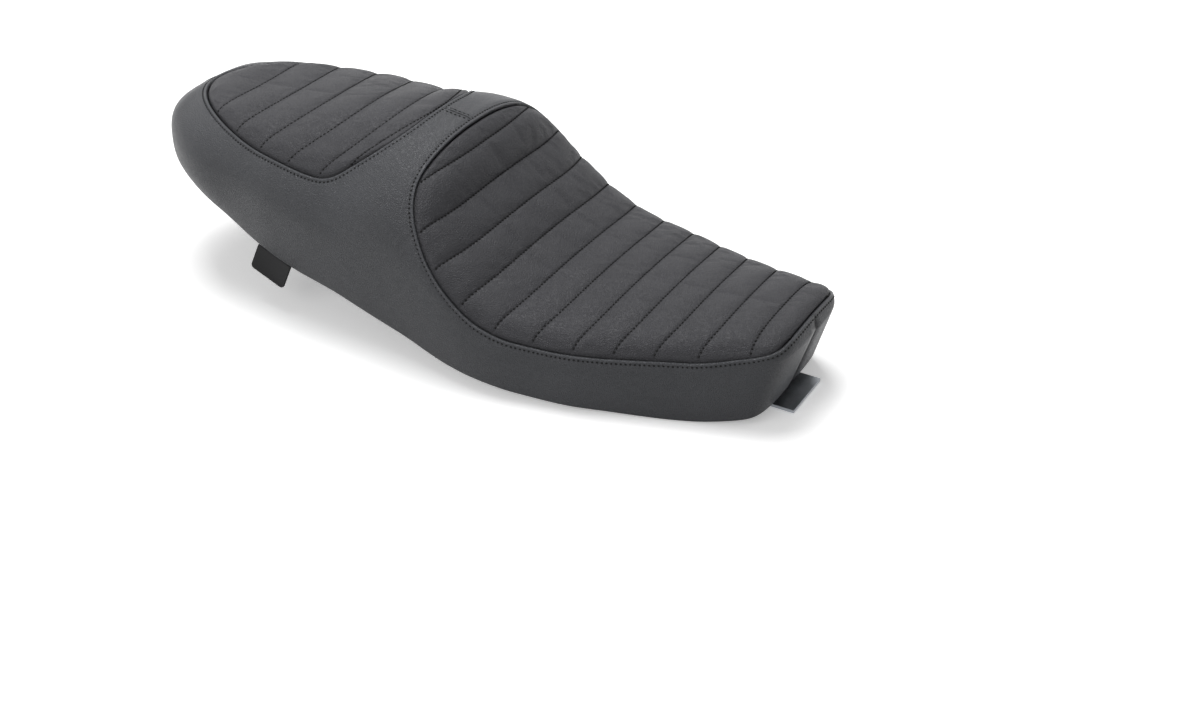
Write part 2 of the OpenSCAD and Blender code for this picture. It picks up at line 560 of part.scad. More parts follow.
// The striker: a rod bent to a loop, in a plate screwed under the pan
striker_x = tail_x + striker_at;
plate_l = 64;
plate_w = 76;
plate_top = min(pan_under(striker_x - plate_l / 2), pan_under(striker_x + plate_l / 2)) - 1.5;
plate_low = plate_top - plate_t;
screw_edge = 9;
SCREWS = [for (dx = [-1, 1], dy = [-1, 1])
    [striker_x + dx * (plate_l / 2 - screw_edge), dy * (plate_w / 2 - screw_edge)]];
LEGS = [for (dy = [-1, 1]) [striker_x, dy * leg_gap / 2]];
screw_grip = 4;
leg_end = 2;
module striker_plate() {
    color(steel) difference() {
        translate([striker_x - plate_l / 2, -plate_w / 2, plate_low]) cube([plate_l, plate_w, plate_t]);
        for (p = SCREWS)
            translate([p[0], p[1], plate_low - 1]) cylinder(d = screw_d + 2 * fit_gap, h = plate_t + 2);
        for (p = LEGS)
            translate([p[0], p[1], plate_low - 1]) cylinder(d = rod_d + 2 * fit_gap, h = plate_t + 2);
    }
}
bend_r = rod_d;
module striker_loop() {
    leg_low = rod_d / 2 + bend_r;
    bar_y = leg_gap / 2 - bend_r;
    color(steel) translate([striker_x, 0, 0]) {
        for (side = [-1, 1]) {
            translate([0, side * leg_gap / 2, leg_low])
                cylinder(d = rod_d, h = plate_top + leg_end - leg_low);
            translate([0, side * bar_y, leg_low]) rotate([0, 90, 0]) rotate([0, 0, side > 0 ? 0 : -90])
                rotate_extrude(angle = 90) translate([bend_r, 0]) circle(d = rod_d);
        }
        translate([0, bar_y, rod_d / 2]) rotate([90, 0, 0]) cylinder(d = rod_d, h = 2 * bar_y);
    }
}
head_h = 2.6;
module button_head(d) {
    rotate_extrude()
        polygon([[0, -head_h], [d * 0.5, -head_h], [d * 0.85, -head_h * 0.55], [d, 0], [0, 0]]);
}
module striker_screws() {
    color(steel) for (p = SCREWS) translate([p[0], p[1], plate_low]) {
        button_head(screw_d * 0.95);
        cylinder(d = screw_d, h = plate_t + screw_grip);
    }
}

// The tongue: a cranked steel plate riveted under the nose, which hooks under a crossbar
tongue_l = 110;
tongue_root_x = nose_x - tongue_l;
tongue_seat_l = 46;
tongue_crank_l = 14;
tongue_end_x = nose_x - 4;
tongue_top = min(pan_under(tongue_root_x), pan_under(tongue_root_x + tongue_seat_l)) - 1;
tongue_drop = 3.6;
rivet_grip = 3.5;
rivet_edge = 10;
RIVETS = [for (dy = [-1, 0, 1]) [tongue_root_x + tongue_seat_l / 2, dy * (tongue_w / 2 - rivet_edge)]];
module tongue_plate() {
    bend_x = tongue_root_x + tongue_seat_l;
    low_x = bend_x + tongue_crank_l;
    low_z = tongue_top - tongue_drop;
    color(steel) difference() {
        rotate([90, 0, 0]) linear_extrude(height = tongue_w, center = true)
            polygon([[tongue_root_x, tongue_top], [bend_x, tongue_top], [low_x, low_z], [tongue_end_x, low_z],
                [tongue_end_x, low_z - plate_t], [low_x - 1, low_z - plate_t],
                [bend_x - 1, tongue_top - plate_t], [tongue_root_x, tongue_top - plate_t]]);
        for (p = RIVETS)
            translate([p[0], p[1], tongue_top - plate_t - 1])
                cylinder(d = rivet_d + 2 * fit_gap, h = plate_t + 2);
    }
}
module tongue_rivets() {
    color(steel) for (p = RIVETS) translate([p[0], p[1], tongue_top - plate_t]) {
        button_head(rivet_d * 0.95);
        cylinder(d = rivet_d, h = plate_t + rivet_grip);
    }
}

// Staples through the covers' turned-in edges
staple_w = 1.2;
staple_n = 18;
staple_tail = 28;
staple_nose = 42;
staple_gap = 0.6;
module staples(side) {
    color(steel) for (i = [0 : staple_n - 1])
        let (x = tail_x + staple_tail + (seat_len - staple_tail - staple_nose) * i / (staple_n - 1),
            a = hem_plan(x - staple_l / 2, flange_w / 2), b = hem_plan(x + staple_l / 2, flange_w / 2),
            az = hem_z(a[0]), bz = hem_z(b[0]), run = norm(b - a))
        translate([(a[0] + b[0]) / 2, side * (a[1] + b[1]) / 2, (az + bz) / 2])
            rotate([0, 0, side * atan2(b[1] - a[1], b[0] - a[0])])
            rotate([0, -atan2(bz - az, run), 0])
            translate([-staple_l / 2, -staple_w / 2, -staple_t - staple_gap])
                cube([staple_l, staple_w, staple_t]);
}
module hem_staples_right() { staples(-1); }
module hem_staples_left() { staples(1); }

// The blank label, sewn behind the right cover's lower edge and free to lift
label_x = tail_x + label_at;
function label_edge(x) = let (h = hem_plan(x, 4)) [h[0], -h[1], hem_z(h[0])];
label_a = label_edge(label_x);
label_b = label_edge(label_x + label_l);
label_dir = unit(label_b - label_a);
label_yaw = atan2(label_dir[1], label_dir[0]);
label_pitch = -asin(label_dir[2]);
label_round = 4;
label_sag = max([for (t = [0 : 0.1 : 1])
    label_a[2] + (label_b[2] - label_a[2]) * t - label_edge(label_x + t * label_l)[2]]);
label_fall = label_sag + label_gap + label_t / 2;
module label() {
    color(pleated_vinyl) translate(label_a - [0, 0, label_fall]) rotate([0, label_pitch, label_yaw])
        rotate([90 - label_tilt, 0, 0]) translate([0, 0, -label_t / 2]) linear_extrude(height = label_t) {
            translate([0, label_round - label_h]) square([label_l, label_h - label_round]);
            translate([label_round, -label_h]) square([label_l - 2 * label_round, label_h]);
            for (x = [label_round, label_l - label_round])
                translate([x, label_round - label_h]) circle(r = label_round);
        }
}
seat_pan();
foam_core();
driver_insert();
passenger_insert();
side_cover_right();
side_cover_left();
label();
bumper_front_right();
bumper_front_left();
bumper_mid_right();
bumper_mid_left();
bumper_rear_right();
bumper_rear_left();
tongue_plate();
tongue_rivets();
striker_plate();
striker_loop();
striker_screws();
hem_staples_right();
hem_staples_left();
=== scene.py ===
"""Motorcycle seat: the looks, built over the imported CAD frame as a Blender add-on."""

import json
import math
from bisect import bisect_right

import bmesh
import bpy
from mathutils import Matrix, Vector, noise
from mathutils.kdtree import KDTree


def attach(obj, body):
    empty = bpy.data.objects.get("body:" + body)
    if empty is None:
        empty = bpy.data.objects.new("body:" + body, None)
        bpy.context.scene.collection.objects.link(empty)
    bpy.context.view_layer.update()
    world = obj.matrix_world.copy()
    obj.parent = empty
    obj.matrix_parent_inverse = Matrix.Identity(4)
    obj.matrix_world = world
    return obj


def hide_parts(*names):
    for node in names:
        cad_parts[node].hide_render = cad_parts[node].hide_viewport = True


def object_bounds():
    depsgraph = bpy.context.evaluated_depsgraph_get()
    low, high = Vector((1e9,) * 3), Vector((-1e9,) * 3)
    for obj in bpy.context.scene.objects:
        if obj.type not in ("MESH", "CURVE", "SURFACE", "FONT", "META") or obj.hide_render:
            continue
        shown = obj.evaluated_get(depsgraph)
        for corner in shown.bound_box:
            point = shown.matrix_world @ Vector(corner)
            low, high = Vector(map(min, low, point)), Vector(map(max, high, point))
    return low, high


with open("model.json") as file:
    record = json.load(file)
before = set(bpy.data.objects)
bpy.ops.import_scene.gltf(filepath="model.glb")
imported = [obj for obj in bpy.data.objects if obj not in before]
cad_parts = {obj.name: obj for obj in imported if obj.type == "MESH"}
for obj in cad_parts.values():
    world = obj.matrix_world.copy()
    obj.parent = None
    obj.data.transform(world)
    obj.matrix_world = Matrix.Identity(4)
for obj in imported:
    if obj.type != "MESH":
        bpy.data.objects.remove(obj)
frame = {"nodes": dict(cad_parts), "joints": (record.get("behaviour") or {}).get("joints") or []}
cad_box = [list(corner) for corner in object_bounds()]

bl_info = {
    "name": "Motorcycle Seat",
    "version": (1, 0, 0),
    "blender": (4, 5, 0),
    "location": "View3D > Sidebar > Seat",
    "description": "Pleated pads, sewn covers, thread, label, foam and studio of a motorcycle seat",
    "category": "Object",
}

# The form is written in millimetres, as it was drawn; MM turns it into Blender's metres.
MM = 0.001

# Driving dimensions of the form. The length comes from the frame, and the rest is the CAD's, give or take a
# little padding.
# Places along the seat: both ends, the front of the passenger's pad, the crest, the widest place and the dip
TAIL_X = cad_box[0][0] / MM
NOSE_X = cad_box[1][0] / MM
PAD_X = TAIL_X + 267
CREST_X = TAIL_X + 345
HIP_X = TAIL_X + 416
DIP_X = TAIL_X + 536
# Full widths
HIP_W = 282
PASS_W = 250
TAIL_W = 226
NOSE_W = 146
# Heights of the top, and of the covers' lower edge under the rider and at the tail
PASS_H = 174
CREST_H = 193
DIP_H = 82
NOSE_H = 91
HEM_H = 6
TAIL_HEM_H = 116
# Width of the flange that the covers turn in under the pan
FLANGE_W = 18
# Rolls: height, pitch and first pleat of the rider's pad, pitch and last roll of the passenger's
ROLL_H = 2.6
PLEAT_PITCH = 35
FIRST_PLEAT = 19
PASS_PITCH = 37.5
TAIL_ROLL = 55
# Half a step over which a path's direction or a surface's slope is taken
SLOPE_STEP = 0.5


def clamp(v, low, high):
    return min(max(v, low), high)


def spread(start, end, steps):
    """Even steps from start to end, with both ends."""
    return [start + (end - start) * i / steps for i in range(steps + 1)]


class Curve:
    """A smooth curve through points [x, value]."""

    def __init__(self, points):
        self.x = [p[0] for p in points]
        self.v = [p[1] for p in points]
        gaps = [b - a for a, b in zip(self.x, self.x[1:])]
        rise = [(b - a) / g for a, b, g in zip(self.v, self.v[1:], gaps)]
        inner = [
            (rise[i] * gaps[i + 1] + rise[i + 1] * gaps[i]) / (gaps[i] + gaps[i + 1])
            for i in range(len(rise) - 1)
        ]
        self.slope = [rise[0]] + inner + [rise[-1]]

    def __call__(self, x):
        i = clamp(bisect_right(self.x, x) - 1, 0, len(self.x) - 2)
        h = self.x[i + 1] - self.x[i]
        t = clamp((x - self.x[i]) / h, 0, 1)
        t2 = t * t
        t3 = t2 * t
        return (
            (2 * t3 - 3 * t2 + 1) * self.v[i]
            + (t3 - 2 * t2 + t) * h * self.slope[i]
            + (3 * t2 - 2 * t3) * self.v[i + 1]
            + (t3 - t2) * h * self.slope[i + 1]
        )


class Run:
    """A path through points, measured along its length."""

    def __init__(self, points):
        self.points = [Vector(p) for p in points]
        self.marks = [0.0]
        for a, b in zip(self.points, self.points[1:]):
            self.marks.append(self.marks[-1] + (b - a).length)
        self.length = self.marks[-1]

    def at(self, s):
        i = clamp(bisect_right(self.marks, s) - 1, 0, len(self.points) - 2)
        span = self.marks[i + 1] - self.marks[i]
        t = clamp((s - self.marks[i]) / span, 0, 1) if span > 0 else 0
        return self.points[i].lerp(self.points[i + 1], t)

    def tangent(self, s):
        a = max(s - SLOPE_STEP, 0)
        b = min(s + SLOPE_STEP, self.length)
        return (self.at(b) - self.at(a)).normalized()


# Where the taper to the nose ends, and the lengths of the hump's face and of the rise to the nose
TAPER_X = NOSE_X - 33
FACE_L = DIP_X - CREST_X
RISE_L = NOSE_X - 10 - DIP_X
# Length and squareness of the rounded ends
TAIL_R = 150
TAIL_P = 2.2
NOSE_R = 60
NOSE_P = 4
# How far the covers' lower edge lies in from the widest line at the ends, and the length of this at the tail
NOSE_TUCK = 20
TAIL_TUCK = 9
TAIL_TUCK_L = TAIL_R / 3

# The hump's face and the rise to the nose, as shares of their length and height
FACE = [[0.08, 0.84], [0.16, 0.6], [0.29, 0.37], [0.43, 0.18], [0.57, 0.065], [0.76, 0.014]]
RISE = [[0, 0], [0.37, 0.22], [0.6, 0.55], [0.84, 0.9], [1, 1]]
# Height of the top's centre line
CROWN = Curve(
    [[TAIL_X, PASS_H - 33], [TAIL_X + 8, PASS_H - 18], [TAIL_X + 25, PASS_H - 5], [TAIL_X + 50, PASS_H],
     [TAIL_X + 110, PASS_H + 4], [TAIL_X + 165, PASS_H + 9], [PAD_X - 63, PASS_H + 14], [PAD_X, CREST_H + 3],
     [PAD_X + 24, CREST_H + 6], [PAD_X + 42, CREST_H + 7], [CREST_X - 18, CREST_H + 5],
     [CREST_X - 6, CREST_H + 3], [CREST_X + 1, CREST_H - 1], [CREST_X + 4, CREST_H - 4]]
    + [[CREST_X + a * FACE_L, DIP_H + b * (CREST_H - DIP_H)] for a, b in FACE]
    + [[DIP_X + a * RISE_L, DIP_H + b * (NOSE_H - DIP_H)] for a, b in RISE]
    + [[NOSE_X - 4, NOSE_H - 4], [NOSE_X, NOSE_H - 15]]
)
# Height of the widest line round the seat
SHOULDER = Curve(
    [[TAIL_X, PASS_H - 34], [TAIL_X + 90, PASS_H - 51], [TAIL_X + 165, PASS_H - 53],
     [PAD_X - 63, PASS_H - 56], [PAD_X, PASS_H - 66], [CREST_X - 8, CREST_H - 88],
     [CREST_X + 14, CREST_H - 99], [CREST_X + 29, CREST_H - 105], [CREST_X + 53, DIP_H - 11],
     [CREST_X + 78, DIP_H - 28], [CREST_X + 105, DIP_H - 36], [CREST_X + 139, DIP_H - 39],
     [DIP_X, DIP_H - 39], [DIP_X + 60, DIP_H - 35], [NOSE_X - 72, NOSE_H - 41],
     [NOSE_X - 35, NOSE_H - 28], [NOSE_X, NOSE_H - 16]]
)
# The taper from the hip to the nose, as shares of its length and of the width it loses
TAPER = [[0, 1], [0.14, 0.97], [0.27, 0.87], [0.42, 0.75], [0.55, 0.58], [0.7, 0.38], [0.84, 0.2], [1, 0]]
# Half width, before the ends are rounded
WIDTH = Curve(
    [[TAIL_X, TAIL_W / 2], [TAIL_X + 90, TAIL_W / 2 + 6], [TAIL_X + 130, PASS_W / 2 - 8],
     [TAIL_X + 190, PASS_W / 2], [PAD_X + 7, (PASS_W + HIP_W) / 4 - 3], [CREST_X - 2, HIP_W / 2 - 6],
     [HIP_X - 20, HIP_W / 2 - 1]]
    + [[HIP_X + a * (TAPER_X - HIP_X), NOSE_W / 2 + b * (HIP_W - NOSE_W) / 2] for a, b in TAPER]
    + [[NOSE_X, NOSE_W / 2 - 4]]
)
# Fall of the lower edge from the tail, as a distance and a share of its height
HEM_FALL = [[0, 1], [25, 0.96], [65, 0.89], [110, 0.73], [150, 0.55], [200, 0.43], [265, 0.36], [330, 0.24],
            [400, 0.09], [450, 0.036], [540, 0.01]]
# Height of the covers' lower edge
HEM = Curve(
    [[TAIL_X + a, HEM_H + b * (TAIL_HEM_H - HEM_H)] for a, b in HEM_FALL]
    + [[NOSE_X - 60, HEM_H], [NOSE_X - 30, HEM_H + 4], [NOSE_X, HEM_H + 14]]
)
# How far the covers' padded lower edge hangs below their turned-in flange
SKIRT = Curve([[TAIL_X, 0], [CREST_X - 140, 0], [CREST_X - 50, 7], [CREST_X + 20, 5], [HIP_X + 30, 2],
               [DIP_X - 40, 4.4], [NOSE_X - 50, 4.4], [NOSE_X - 10, 1], [NOSE_X, 0]])
# Squareness of the cross-section: 2 is an ellipse
SQUARE = Curve([[TAIL_X, 3], [TAIL_X + 60, 2.9], [TAIL_X + 165, 2.26], [PAD_X, 1.9], [CREST_X - 19, 2.25],
                [CREST_X, 2.3], [CREST_X + 30, 2.7], [CREST_X + 50, 2.7], [NOSE_X, 2.7]])
# Share of the half width by which the covers draw in below the widest line
DRAW_IN = Curve([[TAIL_X, 0.08], [TAIL_X + 150, 0.08], [CREST_X, 0.05], [HIP_X, 0.02], [NOSE_X, 0.02]])


def end_cap(s, p):
    """Share of the width at s along a rounded end of squareness p."""
    s = clamp(s, 0, 1)
    return (1 - (1 - s) ** p) ** (1 / p)


def half_w(x):
    """Half the seat's width at x."""
    return WIDTH(x) * end_cap((x - TAIL_X) / TAIL_R, TAIL_P) * end_cap((NOSE_X - x) / NOSE_R, NOSE_P)


def top_z(x, y):
    """Height of the seat's plain top."""
    w = half_w(x)
    z0 = SHOULDER(x)
    f = 0 if abs(y) < 0.001 else 1 if w < 0.01 else min(abs(y) / w, 1)
    e = SQUARE(x)
    return z0 + (CROWN(x) - z0) * (1 - f**e) ** (1 / e)


def on_top(p):
    """The point of the seat's plain top over a point in plan."""
    return Vector((p[0], p[1], top_z(p[0], p[1])))


def top_normal(x, y):
    """Upward normal of the seat's top."""
    dx = top_z(x + SLOPE_STEP, y) - top_z(x - SLOPE_STEP, y)
    dy = top_z(x, y + SLOPE_STEP) - top_z(x, y - SLOPE_STEP)
    return Vector((-dx, -dy, 2 * SLOPE_STEP)).normalized()


def hem_plan(x, d):
    """Plan of the lower edge below the widest line's point at x, moved inwards by d."""
    nose = clamp((x - NOSE_X + NOSE_R) / NOSE_R, 0, 1) ** 2
    tail = clamp((TAIL_X + TAIL_TUCK_L - x) / TAIL_TUCK_L, 0, 1) ** 2
    return Vector((
        x - (NOSE_TUCK + d) * nose + (TAIL_TUCK + d) * tail,
        half_w(x) * (1 - DRAW_IN(x)) * (1 - d / WIDTH(x)),
    ))


# The rider's pad
# Share of the seat's half width at which its side seam runs
SEAM_SHARE = 0.97
# Half of the straight edge at the crest, and the length and squareness of the corner beside it
CREST_HALF = 76
CORNER_L = 68
CORNER_P = 3
# Its seam on the nose, in the middle and at the corner
NOSE_SEAM_X = NOSE_X - 6
NOSE_CORNER_X = NOSE_X - 12
# How late a pleat bends towards its ends, and how much sooner the first one does
PLEAT_BOW = 4.4
TOP_EVEN = 1.5


def seam_w(x):
    """Distance of the rider's side seam from the middle."""
    return SEAM_SHARE * half_w(x)


def corner_point(a):
    """Point of the rounded corner at the crest, at the angle a."""
    x = CREST_X + CORNER_L - CORNER_L * math.cos(a) ** (2 / CORNER_P)
    return (x, CREST_HALF + (seam_w(x) - CREST_HALF) * math.sin(a) ** (2 / CORNER_P))


SIDE_X = CREST_X + CORNER_L
DRIVER_SIDE = (
    [corner_point(math.radians(a)) for a in range(0, 90, 2)]
    + [(x, seam_w(x)) for x in spread(SIDE_X, NOSE_CORNER_X, 90)]
)
DRIVER_CROWN = Run([(x, CROWN(x)) for x in spread(CREST_X, NOSE_SEAM_X, 240)])

# The passenger's pad
# Its tail, and the place where it is widest
PAD_TAIL_X = TAIL_X + 33
PAD_WIDE_X = PAD_X - 38
# Squareness of the tail, share of the seat's half width, and how far the front corners draw in
PAD_P = 1.85
PAD_SHARE = 0.83
PAD_W = PAD_SHARE * half_w(PAD_WIDE_X)
PAD_CORNER = 14
# Arch of the front edge, its fullness beside the middle, and the strip behind it
PAD_ARCH = 40
FRONT_FILL = 9
LAST_STRIP = 1.5
# From this angle on, the tail's outline is one flat arc
TIP_ANGLE = math.radians(10)
PAD_TIP_X = PAD_WIDE_X - (PAD_WIDE_X - PAD_TAIL_X) * math.cos(TIP_ANGLE) ** (2 / PAD_P)
# Least length of a pad's last roll, as a share of the pitch
LEAST_ROLL = 0.4


def pad_half(x):
    """Half the width of the passenger's pad at x."""
    if x <= PAD_WIDE_X:
        f = clamp((PAD_WIDE_X - x) / (PAD_WIDE_X - PAD_TAIL_X), 0, 1)
        return PAD_W * (1 - f**PAD_P) ** (1 / PAD_P)
    return PAD_W - PAD_CORNER * clamp((x - PAD_WIDE_X) / (PAD_X - PAD_WIDE_X), 0, 1) ** 3


# How far the middle of a pleat lies in front of its ends
FORE_SHARE = [[88, 0.08], [125, 0.28], [163, 0.55], [200, 0.8], [238, 0.94]]
FORE = Curve(
    [[PAD_TIP_X, 0]] + [[TAIL_X + a, b * PAD_ARCH] for a, b in FORE_SHARE] + [[PAD_X, PAD_ARCH]]
)


def pleat_places(start, pitch, end):
    """Places of the pleats between the two ends of a pad."""
    places = []
    while start + pitch * len(places) <= end - LEAST_ROLL * pitch:
        places.append(start + pitch * len(places))
    return places


DRIVER_PLEATS = [0] + pleat_places(FIRST_PLEAT, PLEAT_PITCH, DRIVER_CROWN.length) + [DRIVER_CROWN.length]
PASS_PLEATS = (
    [PAD_TIP_X] + pleat_places(PAD_TAIL_X + TAIL_ROLL, PASS_PITCH, PAD_X) + [PAD_X - LAST_STRIP, PAD_X]
)


def fill(v):
    """How far the front edge of the passenger's pad lies in front of its last pleat."""
    return 4 * FRONT_FILL * v * v * (1 - v * v)


def eased(points, reach):
    """The same half path with its corners eased: each point is the mean of the path around it."""
    run = Run(points)
    n = round(run.length)
    raw = [run.at(s) for s in spread(0, run.length, n)]
    over = [Vector((p.x, -p.y)) for p in raw]
    line = over[reach:0:-1] + raw + over[-2 : -reach - 2 : -1]
    width = 2 * reach + 1
    return [sum(line[i : i + width], Vector((0, 0))) / width for i in range(n + 1)]


def turn_of(run):
    """Length along a half path at which it has turned from across to along the seat."""
    s = 0
    while abs(run.tangent(s).x) < abs(run.tangent(s).y):
        s += SLOPE_STEP
    return s


# Reach over which the pads' corners are eased
CORNER_EASE = 9
TIP_Y = pad_half(PAD_TIP_X)
DRIVER_NOSE = [
    (NOSE_SEAM_X + (NOSE_CORNER_X - NOSE_SEAM_X) * v**PLEAT_BOW, v * seam_w(NOSE_CORNER_X))
    for v in spread(1, 0, 40)[1:]
]
PASS_SIDE_X = [PAD_X + (PAD_TIP_X - PAD_X) * (1 - math.cos(a)) / 2 for a in spread(0, math.pi, 120)]
PASS_SIDE = [(x, pad_half(x)) for x in PASS_SIDE_X]
PASS_FRONT = [
    (PAD_X + PAD_ARCH * (1 - v * v) + fill(v), v * pad_half(PAD_X))
    for v in spread(0, 1, 40)
]
PASS_TAIL = [
    (PAD_TIP_X - (PAD_TIP_X - PAD_TAIL_X) * (1 - v * v), v * TIP_Y)
    for v in spread(1, 0, 30)[1:]
]
# Half of each pad's seam, from the middle of the edge at the band round to the nose or the tail
DRIVER_EDGE = Run(eased([(CREST_X, 0)] + DRIVER_SIDE + DRIVER_NOSE, CORNER_EASE))
PASS_EDGE = Run(eased(PASS_FRONT + PASS_SIDE[1:] + PASS_TAIL, CORNER_EASE))
DRIVER_TURN = turn_of(DRIVER_EDGE)
PASS_TURN = turn_of(PASS_EDGE)
DRIVER_NOSE_AT = DRIVER_EDGE.length - Run(DRIVER_NOSE).length
PASS_TAIL_AT = PASS_EDGE.length - Run(PASS_TAIL).length
# Where the rider's pleats end, as [number of the pleat, place on the seam]
PLEAT_ENDS = [[0, 95], [1, 129], [2, 151], [3, 181], [4, 215], [6, 290], [10, 448]]
# Distance from the middle of the nose at which the last row ends
LAST_ROW_END = 40
# Place on the seam where a row of the rider's pad ends, by its place on the centre line
ROW_ENDS = Curve(
    [[0, CREST_HALF]]
    + [[FIRST_PLEAT + PLEAT_PITCH * k, end] for k, end in PLEAT_ENDS]
    + [[DRIVER_CROWN.length, DRIVER_EDGE.length - LAST_ROW_END]]
)
# Fullness of a roll's section: 2 is a parabola
ROLL_P = 3


def roll_form(f):
    """Height of a roll's section at the share f of its length."""
    return 1 - abs(2 * f - 1) ** ROLL_P


def driver_point(s, v, lift):
    """Point of the rider's pad, s along its centre line and v across it."""
    c = DRIVER_CROWN.at(s).x
    e = DRIVER_EDGE.at(ROW_ENDS(s))
    first = clamp((FIRST_PLEAT + PLEAT_PITCH - s) / PLEAT_PITCH, 0, 1)
    x = c + (e.x - c) * abs(v) ** (PLEAT_BOW - TOP_EVEN * first)
    y = v * e.y
    g = (CROWN(c + SLOPE_STEP) - CROWN(c - SLOPE_STEP)) / (2 * SLOPE_STEP)
    n = Vector((-g, 1)).normalized()
    return Vector((x + lift * n.x, y, top_z(x, y) + lift * n.y))


def pass_point(x, v, lift):
    """Point of the passenger's pad at x and v across it."""
    bow = (PAD_TIP_X - PAD_TAIL_X) * clamp(1 - (x - PAD_TIP_X) / TAIL_ROLL, 0, 1) ** 3
    strip = clamp((x - PAD_X) / LAST_STRIP + 1, 0, 1)
    px = x + (FORE(x) - bow) * (1 - v * v) + fill(v) * strip
    y = v * pad_half(x)
    return Vector((px, y, top_z(px, y) + lift))


# Rows along a roll and columns across half a pad, closer together at the stitching
ROLL_ROWS = (0, 0.02, 0.045, 0.08, 0.13, 0.2, 0.29, 0.4, 0.5, 0.6, 0.71, 0.8, 0.87, 0.92, 0.955, 0.98)
HALF_COLUMNS = [i / 32 for i in range(29)] + [0.9, 0.92, 0.94, 0.955, 0.968, 0.978, 0.986, 0.993, 1]
COLUMNS = [-v for v in HALF_COLUMNS[:0:-1]] + HALF_COLUMNS
# A place with no pleat near it, and the length of a roll that swells in full
FAR = 99
FULL_ROLL = 32
# How far a pad's edge lies down in its seam, and the reach of this and of a pleat's pinch
EDGE_DROP = 3.4
DROP_REACH = 3.2
PINCH_REACH = 3
# Distance from the seam at which a roll reaches its full height
HOLD_AT = 14
# Unevenness of the rolls: share of their height, and length of a wave
UNEVEN = 0.12
UNEVEN_L = 45
# Share of the rolls' height that is missing beside the bolster and at the nose, and where it fades there
BOLSTER_FLATTER = 0.25
NOSE_FLATTER = 0.6
NOSE_FLAT_X = NOSE_X - 60
NOSE_FLAT_L = 40
# Painted shade in a pleat and at a pad's edge: the tone there, and the reach of both
PLEAT_SHADE = 0.7
PLEAT_SHADE_REACH = 1.3
PAD_EDGE_SHADE = 0.08
PAD_EDGE_SHADE_REACH = 1.8
# Fullness beside the pads' side seams, its distance from the seam, and the width of pad that has all of it
BOLSTER_H = 2.8
BOLSTER_AT = 14
BOLSTER_WIDTH = 150
# Where the fullness starts in front of the hump and ends at the nose, and the lengths over which it does
HUMP_END = CREST_X + 15
HUMP_GROW = 80
BOLSTER_END = NOSE_X - 15
BOLSTER_FADE = 50
# How the pads swell: distance that a seam holds flat, pressure, share of spare cloth, stiffness, quality,
# frames, and the most that a place may move
SEWN_AT = 3
SWELL_PRESSURE = 4
SPARE_CLOTH = 0.01
SWELL_STIFFNESS = 0.2
SWELL_QUALITY = 6
SWELL_FRAMES = 16
SWELL_MOST = 2.5
# Thickness of the padded pads and of the covers
PAD_THICK = 3
COVER_THICK = 2
# Points in a millimetre of the pads' seams, to measure distances from
SEAM_POINTS = 3
# Distances from a seam at which a cover has rows
EDGE_ROWS = (0, 0.5, 1, 1.5, 2.1, 2.8, 3.6, 4.1, 4.6, 5.1, 5.8, 6.8, 8.4, 10)
# Height of a cover over its plain form, by the distance from a pad's seam: groove, folded lip, stitched dip
LIP = Curve([[0, -3.4], [0.5, -1.4], [1, 0.2], [1.5, 0.8], [2.1, 1], [2.8, 0.8], [3.6, 0.4], [4.6, 0],
             [5.4, 0.05], [6.4, 0.2], [8, 0.2], [14, 0]])
# The same beside the seam on the seat's middle
FELL = Curve([[0, -1.2], [0.5, 0.1], [1, 0.5], [1.6, 0.6], [2.4, 0.5], [3, -0.1], [3.6, -0.5], [4.4, 0.1],
              [5.6, 0.25], [10, 0]])
# Distance from a pad's seam at which the middle seam begins, and the length over which it grows
FELL_AT = 4
FELL_GROW = 6
# Painted shade in the middle seam: the tone there and its reach, and half the gap between the two covers
FELL_SHADE = 0.3
FELL_SHADE_REACH = 0.8
COVER_GAP = 0.12
# Tone of a cover by the distance from a pad's seam: painted shade in the groove, painted highlight along the
# folded lip
EDGE_SHADE_AND_HIGHLIGHT = Curve([[0, 0.05], [0.9, 0.8], [1.4, 1.2], [2.4, 1.25], [3.4, 1.05], [7, 1]])


def grid_into(bm, table):
    """Adds a grid whose vertices take the table's places, in millimetres."""
    nx = len(table) - 1
    ny = len(table[0]) - 1
    made = bmesh.ops.create_grid(bm, x_segments=nx, y_segments=ny, size=1.0)
    spots = []
    for v in made["verts"]:
        i = round((v.co.x + 1) / 2 * nx)
        j = round((v.co.y + 1) / 2 * ny)
        v.co = table[i][j] * MM
        spots.append((v, i, j))
    return spots


def object_from(bm, name, smooth=True):
    """Turns a bmesh into an object of the scene."""
    mesh = bpy.data.meshes.new(name)
    bm.to_mesh(mesh)
    bm.free()
    for face in mesh.polygons:
        face.use_smooth = smooth
    obj = bpy.data.objects.new(name, mesh)
    bpy.context.scene.collection.objects.link(obj)
    return obj


def finish_piece(obj, material, body):
    """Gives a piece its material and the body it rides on."""
    obj.data.materials.clear()
    obj.data.materials.append(material)
    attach(obj, body)


def thicken(obj, depth):
    """Gives a sheet its thickness, inwards."""
    solid = obj.modifiers.new("Thickness", "SOLIDIFY")
    solid.thickness = depth * MM
    solid.offset = -1


def face_up(bm):
    """Turns an open sheet's faces to the outside, by its highest face."""
    bmesh.ops.recalc_face_normals(bm, faces=bm.faces)
    bm.normal_update()
    high = max(bm.faces, key=lambda f: f.calc_center_median().z)
    if high.normal.z < 0:
        bmesh.ops.reverse_faces(bm, faces=bm.faces)
        bm.normal_update()


def to_linear(hex_colour):
    """An sRGB hex colour as Blender's linear RGBA."""
    parts = [int(hex_colour[i : i + 2], 16) / 255 for i in (1, 3, 5)]
    return tuple(c / 12.92 if c <= 0.04045 else ((c + 0.055) / 1.055) ** 2.4 for c in parts) + (1.0,)


WHITE = to_linear("#ffffff")


